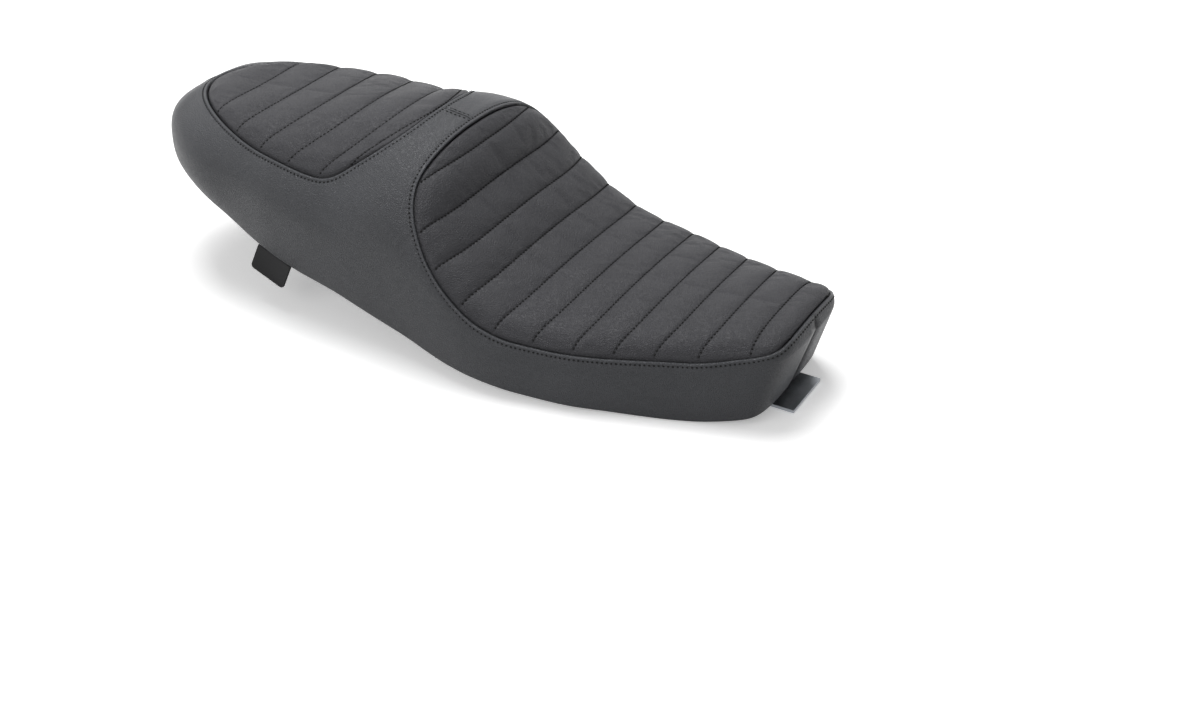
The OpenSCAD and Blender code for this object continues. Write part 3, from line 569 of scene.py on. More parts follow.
def add_node(tree, kind, inputs=None, **settings):
    """Adds a node with its settings; an input is a value or the socket it is linked from."""
    made = tree.nodes.new(kind)
    for key, value in settings.items():
        setattr(made, key, value)
    for key, value in (inputs or {}).items():
        if isinstance(value, bpy.types.NodeSocket):
            tree.links.new(value, made.inputs[key])
        else:
            made.inputs[key].default_value = value
    return made


def new_material(name):
    """An empty material's tree with its shader, and the material."""
    mat = bpy.data.materials.new(name)
    mat.use_nodes = True
    tree = mat.node_tree
    return mat, tree, tree.nodes["Principled BSDF"]


# The vinyl's grain is drawn coarser than a real pressed grain, so that it shows
GRAIN_MM = 1.8
# Bends of the grain, as its length and its depth in grains, and width of the groove between two plates
GRAIN_BEND_L = 2.5
GRAIN_BEND = 1.2
GRAIN_GROOVE = 0.35
# Length of the slow unevenness of a vinyl's tone, and of the patches on the other materials
CLOUD_MM = 60
PATCH_MM = 25
# Range that a noise texture's values fill
NOISE_RANGE = {"From Min": 0.3, "From Max": 0.7}


def vinyl(name, colour, roughness, shine, depth_mm):
    """Coated fabric with a pressed grain; a vertex attribute holds the shade painted along seams and pleats,
    and on the covers a painted highlight along the folded lips.
    """
    mat, tree, shader = new_material(name)
    place = add_node(tree, "ShaderNodeTexCoord").outputs["Object"]
    wave = add_node(tree, "ShaderNodeTexNoise", {"Vector": place, "Scale": 1 / (GRAIN_BEND_L * GRAIN_MM * MM),
                                                 "Detail": 2.0})
    bent = add_node(tree, "ShaderNodeVectorMath", {0: wave.outputs["Color"],
                                                   "Scale": GRAIN_BEND * GRAIN_MM * MM}, operation="SCALE")
    moved = add_node(tree, "ShaderNodeVectorMath", {0: place, 1: bent.outputs[0]}, operation="ADD")
    cells = add_node(tree, "ShaderNodeTexVoronoi", {"Vector": moved.outputs[0], "Scale": 1 / (GRAIN_MM * MM)},
                     feature="DISTANCE_TO_EDGE")
    plates = add_node(tree, "ShaderNodeMapRange", {"Value": cells.outputs["Distance"],
                                                   "From Max": GRAIN_GROOVE},
                      interpolation_type="SMOOTHSTEP")
    bump = add_node(tree, "ShaderNodeBump", {"Height": plates.outputs[0], "Strength": 0.8,
                                             "Distance": depth_mm * MM})
    tree.links.new(bump.outputs[0], shader.inputs["Normal"])
    # Slow unevenness of the coating, so that large faces are not one flat tone
    cloud = add_node(tree, "ShaderNodeTexNoise", {"Vector": place, "Scale": 1 / (CLOUD_MM * MM),
                                                  "Detail": 3.0})
    tone = add_node(tree, "ShaderNodeMapRange", {"Value": cloud.outputs[0], **NOISE_RANGE,
                                                 "To Min": 0.93, "To Max": 1.07})
    # Painted shade in the seams and pleats, and a painted highlight on the covers' lips, multiply the colour
    painted_shade_and_highlight = add_node(tree, "ShaderNodeAttribute", attribute_name="painted_shade_and_highlight").outputs["Fac"]
    shade = add_node(tree, "ShaderNodeMath", {0: tone.outputs[0], 1: painted_shade_and_highlight}, operation="MULTIPLY")
    tint = add_node(tree, "ShaderNodeVectorMath", {0: colour[:3], "Scale": shade.outputs[0]},
                    operation="SCALE")
    tree.links.new(tint.outputs[0], shader.inputs["Base Color"])
    shader.inputs["Roughness"].default_value = roughness
    shader.inputs["Specular IOR Level"].default_value = shine
    return mat


def plain(name, colour, roughness, metallic=0.0, shine=0.2, grain_mm=1.0, depth_mm=0.05):
    """An even material with a fine uneven surface."""
    mat, tree, shader = new_material(name)
    place = add_node(tree, "ShaderNodeTexCoord").outputs["Object"]
    fine = add_node(tree, "ShaderNodeTexNoise", {"Vector": place, "Scale": 1 / (grain_mm * MM),
                                                 "Detail": 3.0})
    bump = add_node(tree, "ShaderNodeBump", {"Height": fine.outputs[0], "Strength": 0.4,
                                             "Distance": depth_mm * MM})
    tree.links.new(bump.outputs[0], shader.inputs["Normal"])
    # Handling leaves patches a little lighter and duller than others
    patch = add_node(tree, "ShaderNodeTexNoise", {"Vector": place, "Scale": 1 / (PATCH_MM * MM),
                                                  "Detail": 3.0})
    tone = add_node(tree, "ShaderNodeMapRange", {"Value": patch.outputs[0], **NOISE_RANGE,
                                                 "To Min": 0.9, "To Max": 1.1})
    tint = add_node(tree, "ShaderNodeVectorMath", {0: colour[:3], "Scale": tone.outputs[0]},
                    operation="SCALE")
    tree.links.new(tint.outputs[0], shader.inputs["Base Color"])
    worn = add_node(tree, "ShaderNodeMapRange", {"Value": patch.outputs[0], **NOISE_RANGE,
                                                 "To Min": roughness - 0.05, "To Max": roughness + 0.05})
    tree.links.new(worn.outputs[0], shader.inputs["Roughness"])
    shader.inputs["Metallic"].default_value = metallic
    shader.inputs["Specular IOR Level"].default_value = shine
    return mat


def seen_directly(tree):
    """1 for what the camera sees, also in metal or through glass, and 0 for what only gives light."""
    path = add_node(tree, "ShaderNodeLightPath").outputs
    shown = add_node(tree, "ShaderNodeMath", {0: path["Is Camera Ray"], 1: path["Is Glossy Ray"]},
                     operation="MAXIMUM")
    shown = add_node(tree, "ShaderNodeMath", {0: shown.outputs[0], 1: path["Is Transmission Ray"]},
                     operation="MAXIMUM")
    return shown.outputs[0]


# Light of the surroundings, and what the paper glows of itself: near the seat, and past the lamps' reach
SKY_LIGHT = 0.35
PAPER_GLOW = 0.3
FAR_GLOW = 1.0
# Distances from the seat, in metres, between which the one becomes the other
GLOW_FROM = 0.6
GLOW_TO = 1.4


def white_paper():
    """Matt paper that the camera sees white, and that throws little light back on the seat."""
    mat, tree, shader = new_material("white_paper")
    shader.inputs["Base Color"].default_value = to_linear("#8c8c8c")
    shader.inputs["Roughness"].default_value = 0.9
    sheet = add_node(tree, "ShaderNodeBsdfDiffuse", {"Color": WHITE})
    place = add_node(tree, "ShaderNodeTexCoord").outputs["Object"]
    away = add_node(tree, "ShaderNodeVectorMath", {0: place}, operation="LENGTH")
    # Past the lamps' reach the paper glows more, so that it stays one white
    level = add_node(tree, "ShaderNodeMapRange", {"Value": away.outputs["Value"],
                                                  "From Min": GLOW_FROM, "From Max": GLOW_TO,
                                                  "To Min": PAPER_GLOW, "To Max": FAR_GLOW})
    glow = add_node(tree, "ShaderNodeEmission", {"Color": WHITE, "Strength": level.outputs[0]})
    lit = add_node(tree, "ShaderNodeAddShader", {0: sheet.outputs[0], 1: glow.outputs[0]})
    both = add_node(tree, "ShaderNodeMixShader", {0: seen_directly(tree), 1: shader.outputs[0],
                                                  2: lit.outputs[0]})
    tree.links.new(both.outputs[0], tree.nodes["Material Output"].inputs["Surface"])
    return mat


class SeatLooks(bpy.types.PropertyGroup):
    """Sizes that shape the seat's looks."""

    roll_height: bpy.props.FloatProperty(
        name="Roll Height", description="Height of a pleated roll over its stitching",
        default=ROLL_H * MM, min=0.0, max=0.01, unit="LENGTH")
    pleat_pinch: bpy.props.FloatProperty(
        name="Pleat Pinch", description="Depth to which a pleat's thread pulls the vinyl in",
        default=0.9 * MM, min=0.0, max=0.004, unit="LENGTH")
    stitch_pitch: bpy.props.FloatProperty(
        name="Stitch Pitch", description="Distance from one stitch to the next",
        default=4.2 * MM, min=0.002, max=0.01, unit="LENGTH")
    # The thread is drawn several times as thick as real thread, so that it shows
    thread_width: bpy.props.FloatProperty(
        name="Thread Width", description="Width of the sewing thread",
        default=2.0 * MM, min=0.0003, max=0.003, unit="LENGTH")
    topstitch_at: bpy.props.FloatProperty(
        name="Topstitch Distance", description="Distance of the covers' topstitching from the pads' seam",
        default=4.6 * MM, min=0.002, max=0.012, unit="LENGTH")


def colour_property(name, description, hex_colour):
    """A colour that a user may change, from its sRGB hex value."""
    return bpy.props.FloatVectorProperty(
        name=name, description=description, default=to_linear(hex_colour), size=4, min=0.0, max=1.0,
        subtype="COLOR")


class SeatColours(bpy.types.PropertyGroup):
    """Colours of the seat's pieces."""

    pads: colour_property("Pads", "Colour of the pleated vinyl", "#38383b")
    covers: colour_property("Covers", "Colour of the side covers' vinyl", "#3e3f42")
    thread: colour_property("Thread", "Colour of the sewing thread", "#060606")
    label: colour_property("Label", "Colour of the label tab", "#0d0d0f")
    foam: colour_property("Foam", "Colour of the foam core", "#d8c88e")
    pan: colour_property("Pan", "Colour of the seat pan", "#202123")
    rubber: colour_property("Rubber", "Colour of the bumpers", "#161616")
    steel: colour_property("Steel", "Colour of the plated steel parts", "#a7abb0")


def bolster(from_side, width):
    """Fullness of a pad beside its side seam."""
    t = from_side / BOLSTER_AT
    return BOLSTER_H * t * math.exp(1 - t) * clamp(width / BOLSTER_WIDTH, 0, 1) ** 2


def bolster_share(x):
    """Fullness along the seat: the hump's face and the nose have none."""
    if x < CREST_X:
        return 1
    return clamp((x - HUMP_END) / HUMP_GROW, 0, 1) * clamp((BOLSTER_END - x) / BOLSTER_FADE, 0, 1)


def pad_sheet(pleats, point, tree, looks):
    """Places of one pleated pad, with the shade painted at each place by its pleats and seam, and whether
    stitches hold it.
    """
    high = looks.roll_height / MM
    pinch = looks.pleat_pinch / MM
    n = len(ROLL_ROWS)
    marks = [a + f * (b - a) for a, b in zip(pleats, pleats[1:]) for f in ROLL_ROWS] + [pleats[-1]]
    flat = [[point(s, v, 0) for v in COLUMNS] for s in marks]
    runs = [Run([row[j] for row in flat]) for j in range(len(COLUMNS))]
    table = []
    painted_shades = []
    sewn = []
    for i, s in enumerate(marks):
        first = min(i // n, len(pleats) - 2) * n
        row = Run(flat[i])
        line = []
        shades = []
        held = []
        for v, p, mark, run in zip(COLUMNS, flat[i], row.marks, runs):
            behind = run.marks[i] - run.marks[first]
            ahead = run.marks[first + n] - run.marks[i]
            width = max(behind + ahead, 0.01)
            from_pleat = min(behind if first > 0 else FAR, ahead if first + n < len(marks) - 1 else FAR)
            edge = tree.find(p)[2]
            hold = 1 - (1 - min(edge / HOLD_AT, 1)) ** 2
            soft = 1 + UNEVEN * noise.noise(p / UNEVEN_L)
            full = 1 - BOLSTER_FLATTER * bolster_share(p.x)
            full -= NOSE_FLATTER * clamp((p.x - NOSE_FLAT_X) / NOSE_FLAT_L, 0, 1)
            lift = high * roll_form(behind / width) * min(width / FULL_ROLL, 1) ** 2 * hold * soft * full
            lift += bolster(min(mark, row.length - mark), row.length) * bolster_share(p.x)
            lift -= pinch * (1 - min(from_pleat / PINCH_REACH, 1)) ** 2 * min(edge / PINCH_REACH, 1)
            lift -= EDGE_DROP * (1 - min(edge / DROP_REACH, 1)) ** 2
            line.append(point(s, v, lift))
            # Painted shade in the pleat and in the seam along the pad's edge
            pleat_shade = PLEAT_SHADE + (1 - PLEAT_SHADE) * min(from_pleat / PLEAT_SHADE_REACH, 1)
            seam_shade = PAD_EDGE_SHADE + (1 - PAD_EDGE_SHADE) * min(edge / PAD_EDGE_SHADE_REACH, 1)
            shades.append(min(pleat_shade, seam_shade))
            held.append(edge < SEWN_AT or from_pleat < 0.5 * SEWN_AT)
        table.append(line)
        painted_shades.append(shades)
        sewn.append(held)
    return table, painted_shades, sewn


def swell(context, pad, sewn):
    """Lets a pad's sheet swell and pucker between its stitches as cloth, by no more than SWELL_MOST."""
    group = pad.vertex_groups.new(name="sewn")
    group.add(sewn, 1.0, "REPLACE")
    cloth = pad.modifiers.new("Swell", "CLOTH")
    cloth.settings.vertex_group_mass = group.name
    cloth.settings.quality = SWELL_QUALITY
    cloth.settings.use_pressure = True
    cloth.settings.uniform_pressure_force = SWELL_PRESSURE
    cloth.settings.shrink_min = -SPARE_CLOTH
    cloth.settings.bending_stiffness = SWELL_STIFFNESS
    cloth.settings.effector_weights.gravity = 0
    cloth.point_cache.frame_start = 1
    cloth.point_cache.frame_end = SWELL_FRAMES
    for moment in range(1, SWELL_FRAMES + 1):
        context.scene.frame_set(moment)
    swollen = pad.evaluated_get(context.evaluated_depsgraph_get()).data
    places = [v.co.copy() for v in swollen.vertices]
    pad.modifiers.remove(cloth)
    pad.vertex_groups.remove(group)
    context.scene.frame_set(1)
    if len(places) != len(pad.data.vertices):
        raise RuntimeError(f"{pad.name}: the cloth lost its vertices")
    most = SWELL_MOST * MM
    for v, place in zip(pad.data.vertices, places):
        step = place - v.co
        v.co += step * (most / (most + step.length))
    pad.data.update()


def seam_tree():
    """The pads' seams as points to measure from."""
    spots = []
    for run in (DRIVER_EDGE, PASS_EDGE):
        n = round(run.length * SEAM_POINTS)
        half = [on_top(run.at(s)) for s in spread(0, run.length, n)]
        spots += half + [p * Vector((1, -1, 1)) for p in half]
    tree = KDTree(len(spots))
    for i, p in enumerate(spots):
        tree.insert(p, i)
    tree.balance()
    return tree


class SEAT_OT_pads(bpy.types.Operator):
    """Makes the two pleated pads"""

    bl_idname = "seat.pads"
    bl_label = "Pleated Pads"

    def execute(self, context):
        looks = context.scene.seat_looks
        # Matte fabric-backed vinyl of the pleats, with shade painted darkest in the stitched grooves
        mat = vinyl("pleated_matte_vinyl", context.scene.seat_colours.pads, 0.48, shine=0.2, depth_mm=0.5)
        pads = (
            ("driver_pad", "driver_insert", DRIVER_PLEATS, driver_point),
            ("passenger_pad", "passenger_insert", PASS_PLEATS, pass_point),
        )
        tree = seam_tree()
        for name, node, pleats, point in pads:
            table, painted_shades, sewn = pad_sheet(pleats, point, tree, looks)
            bm = bmesh.new()
            layer = bm.verts.layers.float.new("painted_shade_and_highlight")
            held = []
            for v, i, j in grid_into(bm, table):
                v[layer] = painted_shades[i][j]
                if sewn[i][j]:
                    held.append(v)
            face_up(bm)
            bm.verts.index_update()
            held = [v.index for v in held]
            pad = object_from(bm, name)
            swell(context, pad, held)
            thicken(pad, PAD_THICK)
            finish_piece(pad, mat, "seat")
            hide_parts(node)
        return {"FINISHED"}


# Steps of a cover's line over the shoulder, down the side, along the drop and round the hem
SHOULDER_STEPS = 32
SIDE_STEPS = 24
DROP_STEPS = 28
TURN_STEPS = 6
# Rows on the flange, as shares of it
FLANGE_ROWS = (0.33, 0.67, 1)
# Fullness of a cover's side, length of its turn round the hem, and how many such lengths of flange it takes
SIDE_BULGE = 2
HEM_TURN = 4
TURN_IN = 1.5
RIGHT_ANGLE = math.pi / 2


def cover_rows(q, wide_x):
    """A cover's line from a seam over the shoulder, down the side, round the hem and in under the pan."""
    w = Vector((wide_x, half_w(wide_x)))
    h = hem_plan(wide_x, 0)
    f = hem_plan(wide_x, FLANGE_W)
    z0 = SHOULDER(wide_x)
    line = [on_top(q.lerp(w, math.sin(a))) for a in spread(0, RIGHT_ANGLE, SHOULDER_STEPS)[:-1]]
    hem = HEM(h.x) - SKIRT(h.x)
    for t in spread(0, 1, SIDE_STEPS):
        p = w.lerp(h, t)
        # The two covers meet on the middle of the ends, so nothing bulges there
        bulge = 4 * SIDE_BULGE * t * (1 - t) if w.y > 1 else 0
        line.append(Vector((p.x, p.y + bulge, z0 + (hem - z0) * t)))
    run = Run(line)
    drop = spread(EDGE_ROWS[-1], run.length - HEM_TURN, DROP_STEPS)
    rows = [run.at(m) for m in list(EDGE_ROWS) + drop[1:]]
    corner = run.at(run.length)
    inner = Vector((f.x, f.y, HEM(f.x)))
    start = rows[-1]
    end = corner.lerp(inner, TURN_IN * HEM_TURN / FLANGE_W)
    end.z = HEM(end.x)
    for t in spread(0, 1, TURN_STEPS)[1:]:
        rows.append(start.lerp(corner, t).lerp(corner.lerp(end, t), t))
    rows += [end.lerp(inner, t) for t in FLANGE_ROWS]
    return rows


def nose_cap_x(a):
    """Place of the widest line on the rounded nose, at the angle a."""
    return NOSE_X - NOSE_R * (1 - math.sin(a) ** (2 / NOSE_P))


def tail_cap_x(a):
    """Place of the widest line on the rounded tail, at the angle a."""
    return TAIL_X + TAIL_R * (1 - math.sin(a) ** (2 / TAIL_P))


# How far a cover's line slants from its seam to the widest line: back at the crest, forward at the front of
# the passenger's pad, back at the tail
CREST_LAG = 14
FRONT_LEAD = 12
TAIL_LAG = 30.5
# Angles on the rounded ends from which a cover's lines turn round the nose and the tail
NOSE_ANGLE = math.asin(((NOSE_CORNER_X - NOSE_X + NOSE_R) / NOSE_R) ** (NOSE_P / 2))
TAIL_ANGLE = math.asin((1 - (PAD_TIP_X - TAIL_LAG - TAIL_X) / TAIL_R) ** (TAIL_P / 2))
# Steps of a cover's grids: along the rider's pad, round the nose, along the passenger's pad, round the tail,
# and across and out over the band
RIDER_STEPS = 140
NOSE_STEPS = 28
PASS_STEPS = 110
TAIL_STEPS = 24
BAND_ACROSS = 18
BAND_OUT = 26
# Width of the band, for the rows beside its two seams
BAND_W = 50


def cover_patches():
    """Three grids of a cover: along the rider's pad, over the band, and round the passenger's pad."""
    rider = []
    for t in spread(0, 1, RIDER_STEPS):
        q = DRIVER_EDGE.at(DRIVER_TURN + (DRIVER_NOSE_AT - DRIVER_TURN) * t)
        rider.append(cover_rows(q, q.x - CREST_LAG * (1 - t) ** 4))
    for v in spread(1, 0, NOSE_STEPS)[1:]:
        q = DRIVER_EDGE.at(DRIVER_EDGE.length + (DRIVER_NOSE_AT - DRIVER_EDGE.length) * v)
        rider.append(cover_rows(q, nose_cap_x(RIGHT_ANGLE + (NOSE_ANGLE - RIGHT_ANGLE) * v)))
    passenger = []
    for t in spread(0, 1, PASS_STEPS):
        q = PASS_EDGE.at(PASS_TURN + (PASS_TAIL_AT - PASS_TURN) * t)
        lag = TAIL_LAG * (1 - math.cos(math.pi * t)) / 2
        passenger.append(cover_rows(q, q.x + FRONT_LEAD * (1 - t) ** 3 - lag))
    for v in spread(1, 0, TAIL_STEPS)[1:]:
        q = PASS_EDGE.at(PASS_EDGE.length + (PASS_TAIL_AT - PASS_EDGE.length) * v)
        passenger.append(cover_rows(q, tail_cap_x(RIGHT_ANGLE + (TAIL_ANGLE - RIGHT_ANGLE) * v)))
    near = [d / BAND_W for d in EDGE_ROWS]
    middle = spread(near[-1], 1 - near[-1], BAND_ACROSS)[1:-1]
    across = near + middle + [1 - d for d in reversed(near)]
    depth = (DRIVER_TURN + PASS_TURN) / 2
    out = [d / depth for d in EDGE_ROWS]
    out += spread(out[-1], 1, BAND_OUT)[1:-1]
    wide_a = DRIVER_EDGE.at(DRIVER_TURN).x - CREST_LAG
    wide_b = PASS_EDGE.at(PASS_TURN).x + FRONT_LEAD
    band = []
    for w in across:
        inner = [DRIVER_EDGE.at(DRIVER_TURN * t).lerp(PASS_EDGE.at(PASS_TURN * t), w) for t in out]
        q = DRIVER_EDGE.at(DRIVER_TURN).lerp(PASS_EDGE.at(PASS_TURN), w)
        band.append([on_top(p) for p in inner] + cover_rows(q, wide_a + (wide_b - wide_a) * w))
    return rider, band, passenger


# Distances within which two vertices are one: where a cover's grids meet, and in the foam
COVER_WELD = 0.02
FOAM_WELD = 0.01


class SEAT_OT_covers(bpy.types.Operator):
    """Makes the two side covers with their folded seams"""

    bl_idname = "seat.covers"
    bl_label = "Side Covers"

    def execute(self, context):
        # Smooth satin vinyl with a fine leather grain: catches the light on the shoulders
        mat = vinyl("satin_leather_grain_vinyl", context.scene.seat_colours.covers, 0.42, shine=0.26,
                    depth_mm=0.55)
        patches = cover_patches()
        tree = seam_tree()
        for name, side in (("side_cover_right", -1), ("side_cover_left", 1)):
            bm = bmesh.new()
            layer = bm.verts.layers.float.new("painted_shade_and_highlight")
            for table in patches:
                grid_into(bm, table)
            bmesh.ops.remove_doubles(bm, verts=bm.verts, dist=COVER_WELD * MM)
            face_up(bm)
            for v in bm.verts:
                p = v.co / MM
                gap = tree.find(p)[2]
                beside = abs(p.y)
                rise = LIP(gap) + FELL(beside) * clamp((gap - FELL_AT) / FELL_GROW, 0, 1)
                # Painted shade in the seam's groove, and a painted highlight along the folded lip
                shade = EDGE_SHADE_AND_HIGHLIGHT(gap)
                # Painted shade along the seam on the seat's middle
                if gap > FELL_AT:
                    shade = min(shade, FELL_SHADE + (1 - FELL_SHADE) * min(beside / FELL_SHADE_REACH, 1))
                v[layer] = shade
                v.co += v.normal * rise * MM
                v.co.y = max(v.co.y, 0) + COVER_GAP * MM
                v.co.y *= side
            if side < 0:
                bmesh.ops.reverse_faces(bm, faces=bm.faces)
            cover = object_from(bm, name + "_sewn")
            thicken(cover, COVER_THICK)
            finish_piece(cover, mat, "seat")
            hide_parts(name)
        return {"FINISHED"}


# Half length of a stitch as a share of the pitch, and its half height as a share of the thread's width
STITCH_SHARE = 0.26
STITCH_RISE = 0.42
# How far a pleat's thread stands over the pinched vinyl, and the steps across a pad in which it is laid
THREAD_LIFT = 0.5
PLEAT_STEPS = 120
# Tries in which a row's distance over the curved top is found, and how far a row stops from the seam's ends
ROW_TRIES = 6
ROW_END = 1
# The two rows on the band: distance from the middle, and from the seams at their ends, and steps
BAND_ROW_Y = 3.6
BAND_ROW_END = 7
BAND_STEPS = 30


def stitch_mesh():
    """One stitch, one unit in half length, half width and half height."""
    bm = bmesh.new()
    bmesh.ops.create_uvsphere(bm, u_segments=8, v_segments=5, radius=1)
    mesh = bpy.data.meshes.new("stitch")
    bm.to_mesh(mesh)
    bm.free()
    return mesh


def stitches_into(bm, stitch, points, normals, pitch, width):
    """Adds a row of stitches along a line of points, in millimetres."""
    run = Run(points)
    count = int(run.length / pitch)
    size = Matrix.Diagonal((STITCH_SHARE * pitch * MM, width / 2 * MM, STITCH_RISE * width * MM, 1))
    for k in range(count):
        s = (k + 0.5) * run.length / count
        along = run.tangent(s)
        i = clamp(bisect_right(run.marks, s) - 1, 0, len(normals) - 1)
        up = (normals[i] - along * normals[i].dot(along)).normalized()
        place = Matrix((along, up.cross(along), up)).transposed().to_4x4()
        place.translation = run.at(s) * MM
        one = stitch.copy()
        one.transform(place @ size)
        bm.from_mesh(one)
        bpy.data.meshes.remove(one)


def beside_seam(run, start, end, distance, sign):
    """Points of the top at a distance outside a pad's seam, with their normals."""
    points = []
    normals = []
    n = max(round(abs(end - start)), 2)
    for s in spread(start, end, n):
        p = run.at(s)
        t = run.tangent(s)
        side = Vector((t.y, -t.x)) * sign
        base = on_top(p)
        step = distance
        for _ in range(ROW_TRIES):
            q = on_top(p + side * step)
            step *= distance / max((q - base).length, 0.01)
        points.append(on_top(p + side * step))
        normals.append(top_normal(*(p + side * step)))
    return points, normals


class SEAT_OT_thread(bpy.types.Operator):
    """Sews the pleats, the pads' seams and the seam on the band"""

    bl_idname = "seat.thread"
    bl_label = "Thread"

    def execute(self, context):
        looks = context.scene.seat_looks
        pitch = looks.stitch_pitch / MM
        width = looks.thread_width / MM
        # Black bonded polyester thread: dark dots with hardly a sheen
        mat = plain("bonded_polyester_thread", context.scene.seat_colours.thread, 0.7, grain_mm=0.4,
                    depth_mm=0.05)
        pinch = looks.pleat_pinch / MM
        stitch = stitch_mesh()
        across = spread(-1, 1, PLEAT_STEPS)
        pads = (("driver_pleat_thread", DRIVER_PLEATS, driver_point),
                ("passenger_pleat_thread", PASS_PLEATS, pass_point))
        for name, pleats, point in pads:
            bm = bmesh.new()
            for s in pleats[1:-1]:
                base = Run([point(s, v, 0) for v in across])
                line = []
                for v, p, mark in zip(across, base.points, base.marks):
                    full = bolster(min(mark, base.length - mark), base.length) * bolster_share(p.x)
                    line.append(point(s, v, full + THREAD_LIFT - pinch))
                line = line[1:-1]
                normals = [top_normal(p.x, p.y) for p in line]
                stitches_into(bm, stitch, line, normals, pitch, width)
            obj = object_from(bm, name)
            finish_piece(obj, mat, "seat")
        bm = bmesh.new()
        away = looks.topstitch_at / MM
        for run, sign in ((DRIVER_EDGE, -1), (PASS_EDGE, 1)):
            line, normals = beside_seam(run, ROW_END, run.length - ROW_END, away, sign)
            for side in (-1, 1):
                flip = Vector((1, side, 1))
                stitches_into(bm, stitch, [p * flip for p in line], [n * flip for n in normals], pitch, width)
        for side in (-1, 1):
            ends = (PASS_EDGE.at(0).x + BAND_ROW_END, CREST_X - BAND_ROW_END)
            line = [on_top((x, side * BAND_ROW_Y)) for x in spread(*ends, BAND_STEPS)]
            stitches_into(bm, stitch, line, [top_normal(p.x, p.y) for p in line], pitch, width)
        obj = object_from(bm, "cover_topstitch")
        finish_piece(obj, mat, "seat")
        return {"FINISHED"}


# The label: length, height and thickness, rounding of its lower corners, width and height of its rim, and
# rounding of its edges
LABEL_L = 45
LABEL_H = 25
LABEL_T = 2
LABEL_CORNER = 4
LABEL_RIM = 2.4
LABEL_RIM_H = 0.6
LABEL_ROUND = 0.5
# How far the label tilts at rest, and the angle between two faces from which their edge is rounded
LABEL_TILT = math.radians(20)
SHARP = 0.4


class SEAT_OT_label(bpy.types.Operator):
    """Makes the blank label tab"""

    bl_idname = "seat.label"
    bl_label = "Label"

    def execute(self, context):
        # Stiff black leatherette: deep black, with a faint sheen on the rim
        mat = plain("black_leatherette", context.scene.seat_colours.label, 0.45, grain_mm=1.5, depth_mm=0.2)
        joint = frame["joints"][0]
        pin = Vector(joint["pos_m"])
        along = -Vector(joint["axis"]).normalized()
        across = Vector((0, 0, 1)).cross(along).normalized()
        above = along.cross(across)
        up = across * math.sin(LABEL_TILT) + above * math.cos(LABEL_TILT)
        out = above * math.sin(LABEL_TILT) - across * math.cos(LABEL_TILT)
        length = LABEL_L * MM
        height = LABEL_H * MM
        thick = LABEL_T * MM
        bm = bmesh.new()
        bmesh.ops.create_grid(bm, x_segments=1, y_segments=1, size=0.5)
        bmesh.ops.transform(bm, verts=bm.verts, matrix=Matrix.Diagonal((length, height, 1, 1)))
        bmesh.ops.translate(bm, verts=bm.verts, vec=(length / 2, -height / 2, -thick / 2))
        low = [v for v in bm.verts if v.co.y < -height / 2]
        bmesh.ops.bevel(bm, geom=low, offset=LABEL_CORNER * MM, affect="VERTICES", segments=5, profile=0.5,
                        material=-1)
        made = bmesh.ops.extrude_face_region(bm, geom=bm.faces[:], use_keep_orig=True)
        front = [g for g in made["geom"] if isinstance(g, bmesh.types.BMVert)]
        bmesh.ops.translate(bm, verts=front, vec=(0, 0, thick))
        bmesh.ops.recalc_face_normals(bm, faces=bm.faces)
        face = max(bm.faces, key=lambda f: f.calc_center_median().z)
        bmesh.ops.inset_region(bm, faces=[face], thickness=LABEL_RIM * MM, depth=-LABEL_RIM_H * MM,
                               use_even_offset=True)
        rim = [e for e in bm.edges if e.calc_face_angle(0) > SHARP]
        bmesh.ops.bevel(bm, geom=rim, offset=LABEL_ROUND * MM, affect="EDGES", segments=3, profile=0.5,
                        material=-1)
        turn = Matrix((along, up, out)).transposed().to_4x4()
        turn.translation = pin
        bmesh.ops.transform(bm, verts=bm.verts, matrix=turn)
        label = object_from(bm, "label_tab")
        finish_piece(label, mat, "label_flap")
        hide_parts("label")
        return {"FINISHED"}


class SEAT_OT_base(bpy.types.Operator):
    """Makes the foam and paints the pan, the bumpers and the steel parts"""

    bl_idname = "seat.base"
    bl_label = "Foam and Base"

    def execute(self, context):
        colours = context.scene.seat_colours
        core = frame["nodes"]["foam_core"]
        # Moulded polyurethane foam: pale, open and dull
        foam_mat = plain("moulded_foam", colours.foam, 0.95, grain_mm=1.5, depth_mm=0.6)
        bm = bmesh.new()
        bm.from_mesh(core.data)
        bmesh.ops.remove_doubles(bm, verts=bm.verts, dist=FOAM_WELD * MM)
        bmesh.ops.transform(bm, verts=bm.verts, matrix=core.matrix_world)
        bmesh.ops.recalc_face_normals(bm, faces=bm.faces)
        foam = object_from(bm, "foam_block")
        finish_piece(foam, foam_mat, "seat")
        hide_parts("foam_core")
        # Moulded polypropylene with a fine texture: an even, satin black
        pan = plain("moulded_polypropylene", colours.pan, 0.55, grain_mm=0.8, depth_mm=0.08)
        # Black rubber: dull, with hardly a highlight
        rubber = plain("bumper_rubber", colours.rubber, 0.8, grain_mm=0.6, depth_mm=0.05)
        # Bright zinc plating: a soft mirror of the white room
        steel = plain("zinc_plated_steel", colours.steel, 0.32, metallic=1.0, grain_mm=0.5, depth_mm=0.01)
        # Paint of a CAD node, by the first word of its name
        paints = {"seat": pan, "bumper": rubber, "tongue": steel, "striker": steel, "hem": steel}
        for name, node in frame["nodes"].items():
            kind = name.split("_")[0]
            if kind in paints:
                node.data.materials.clear()
                node.data.materials.append(paints[kind])
        return {"FINISHED"}


# Half the floor's width, in metres
FLOOR_HALF = 6
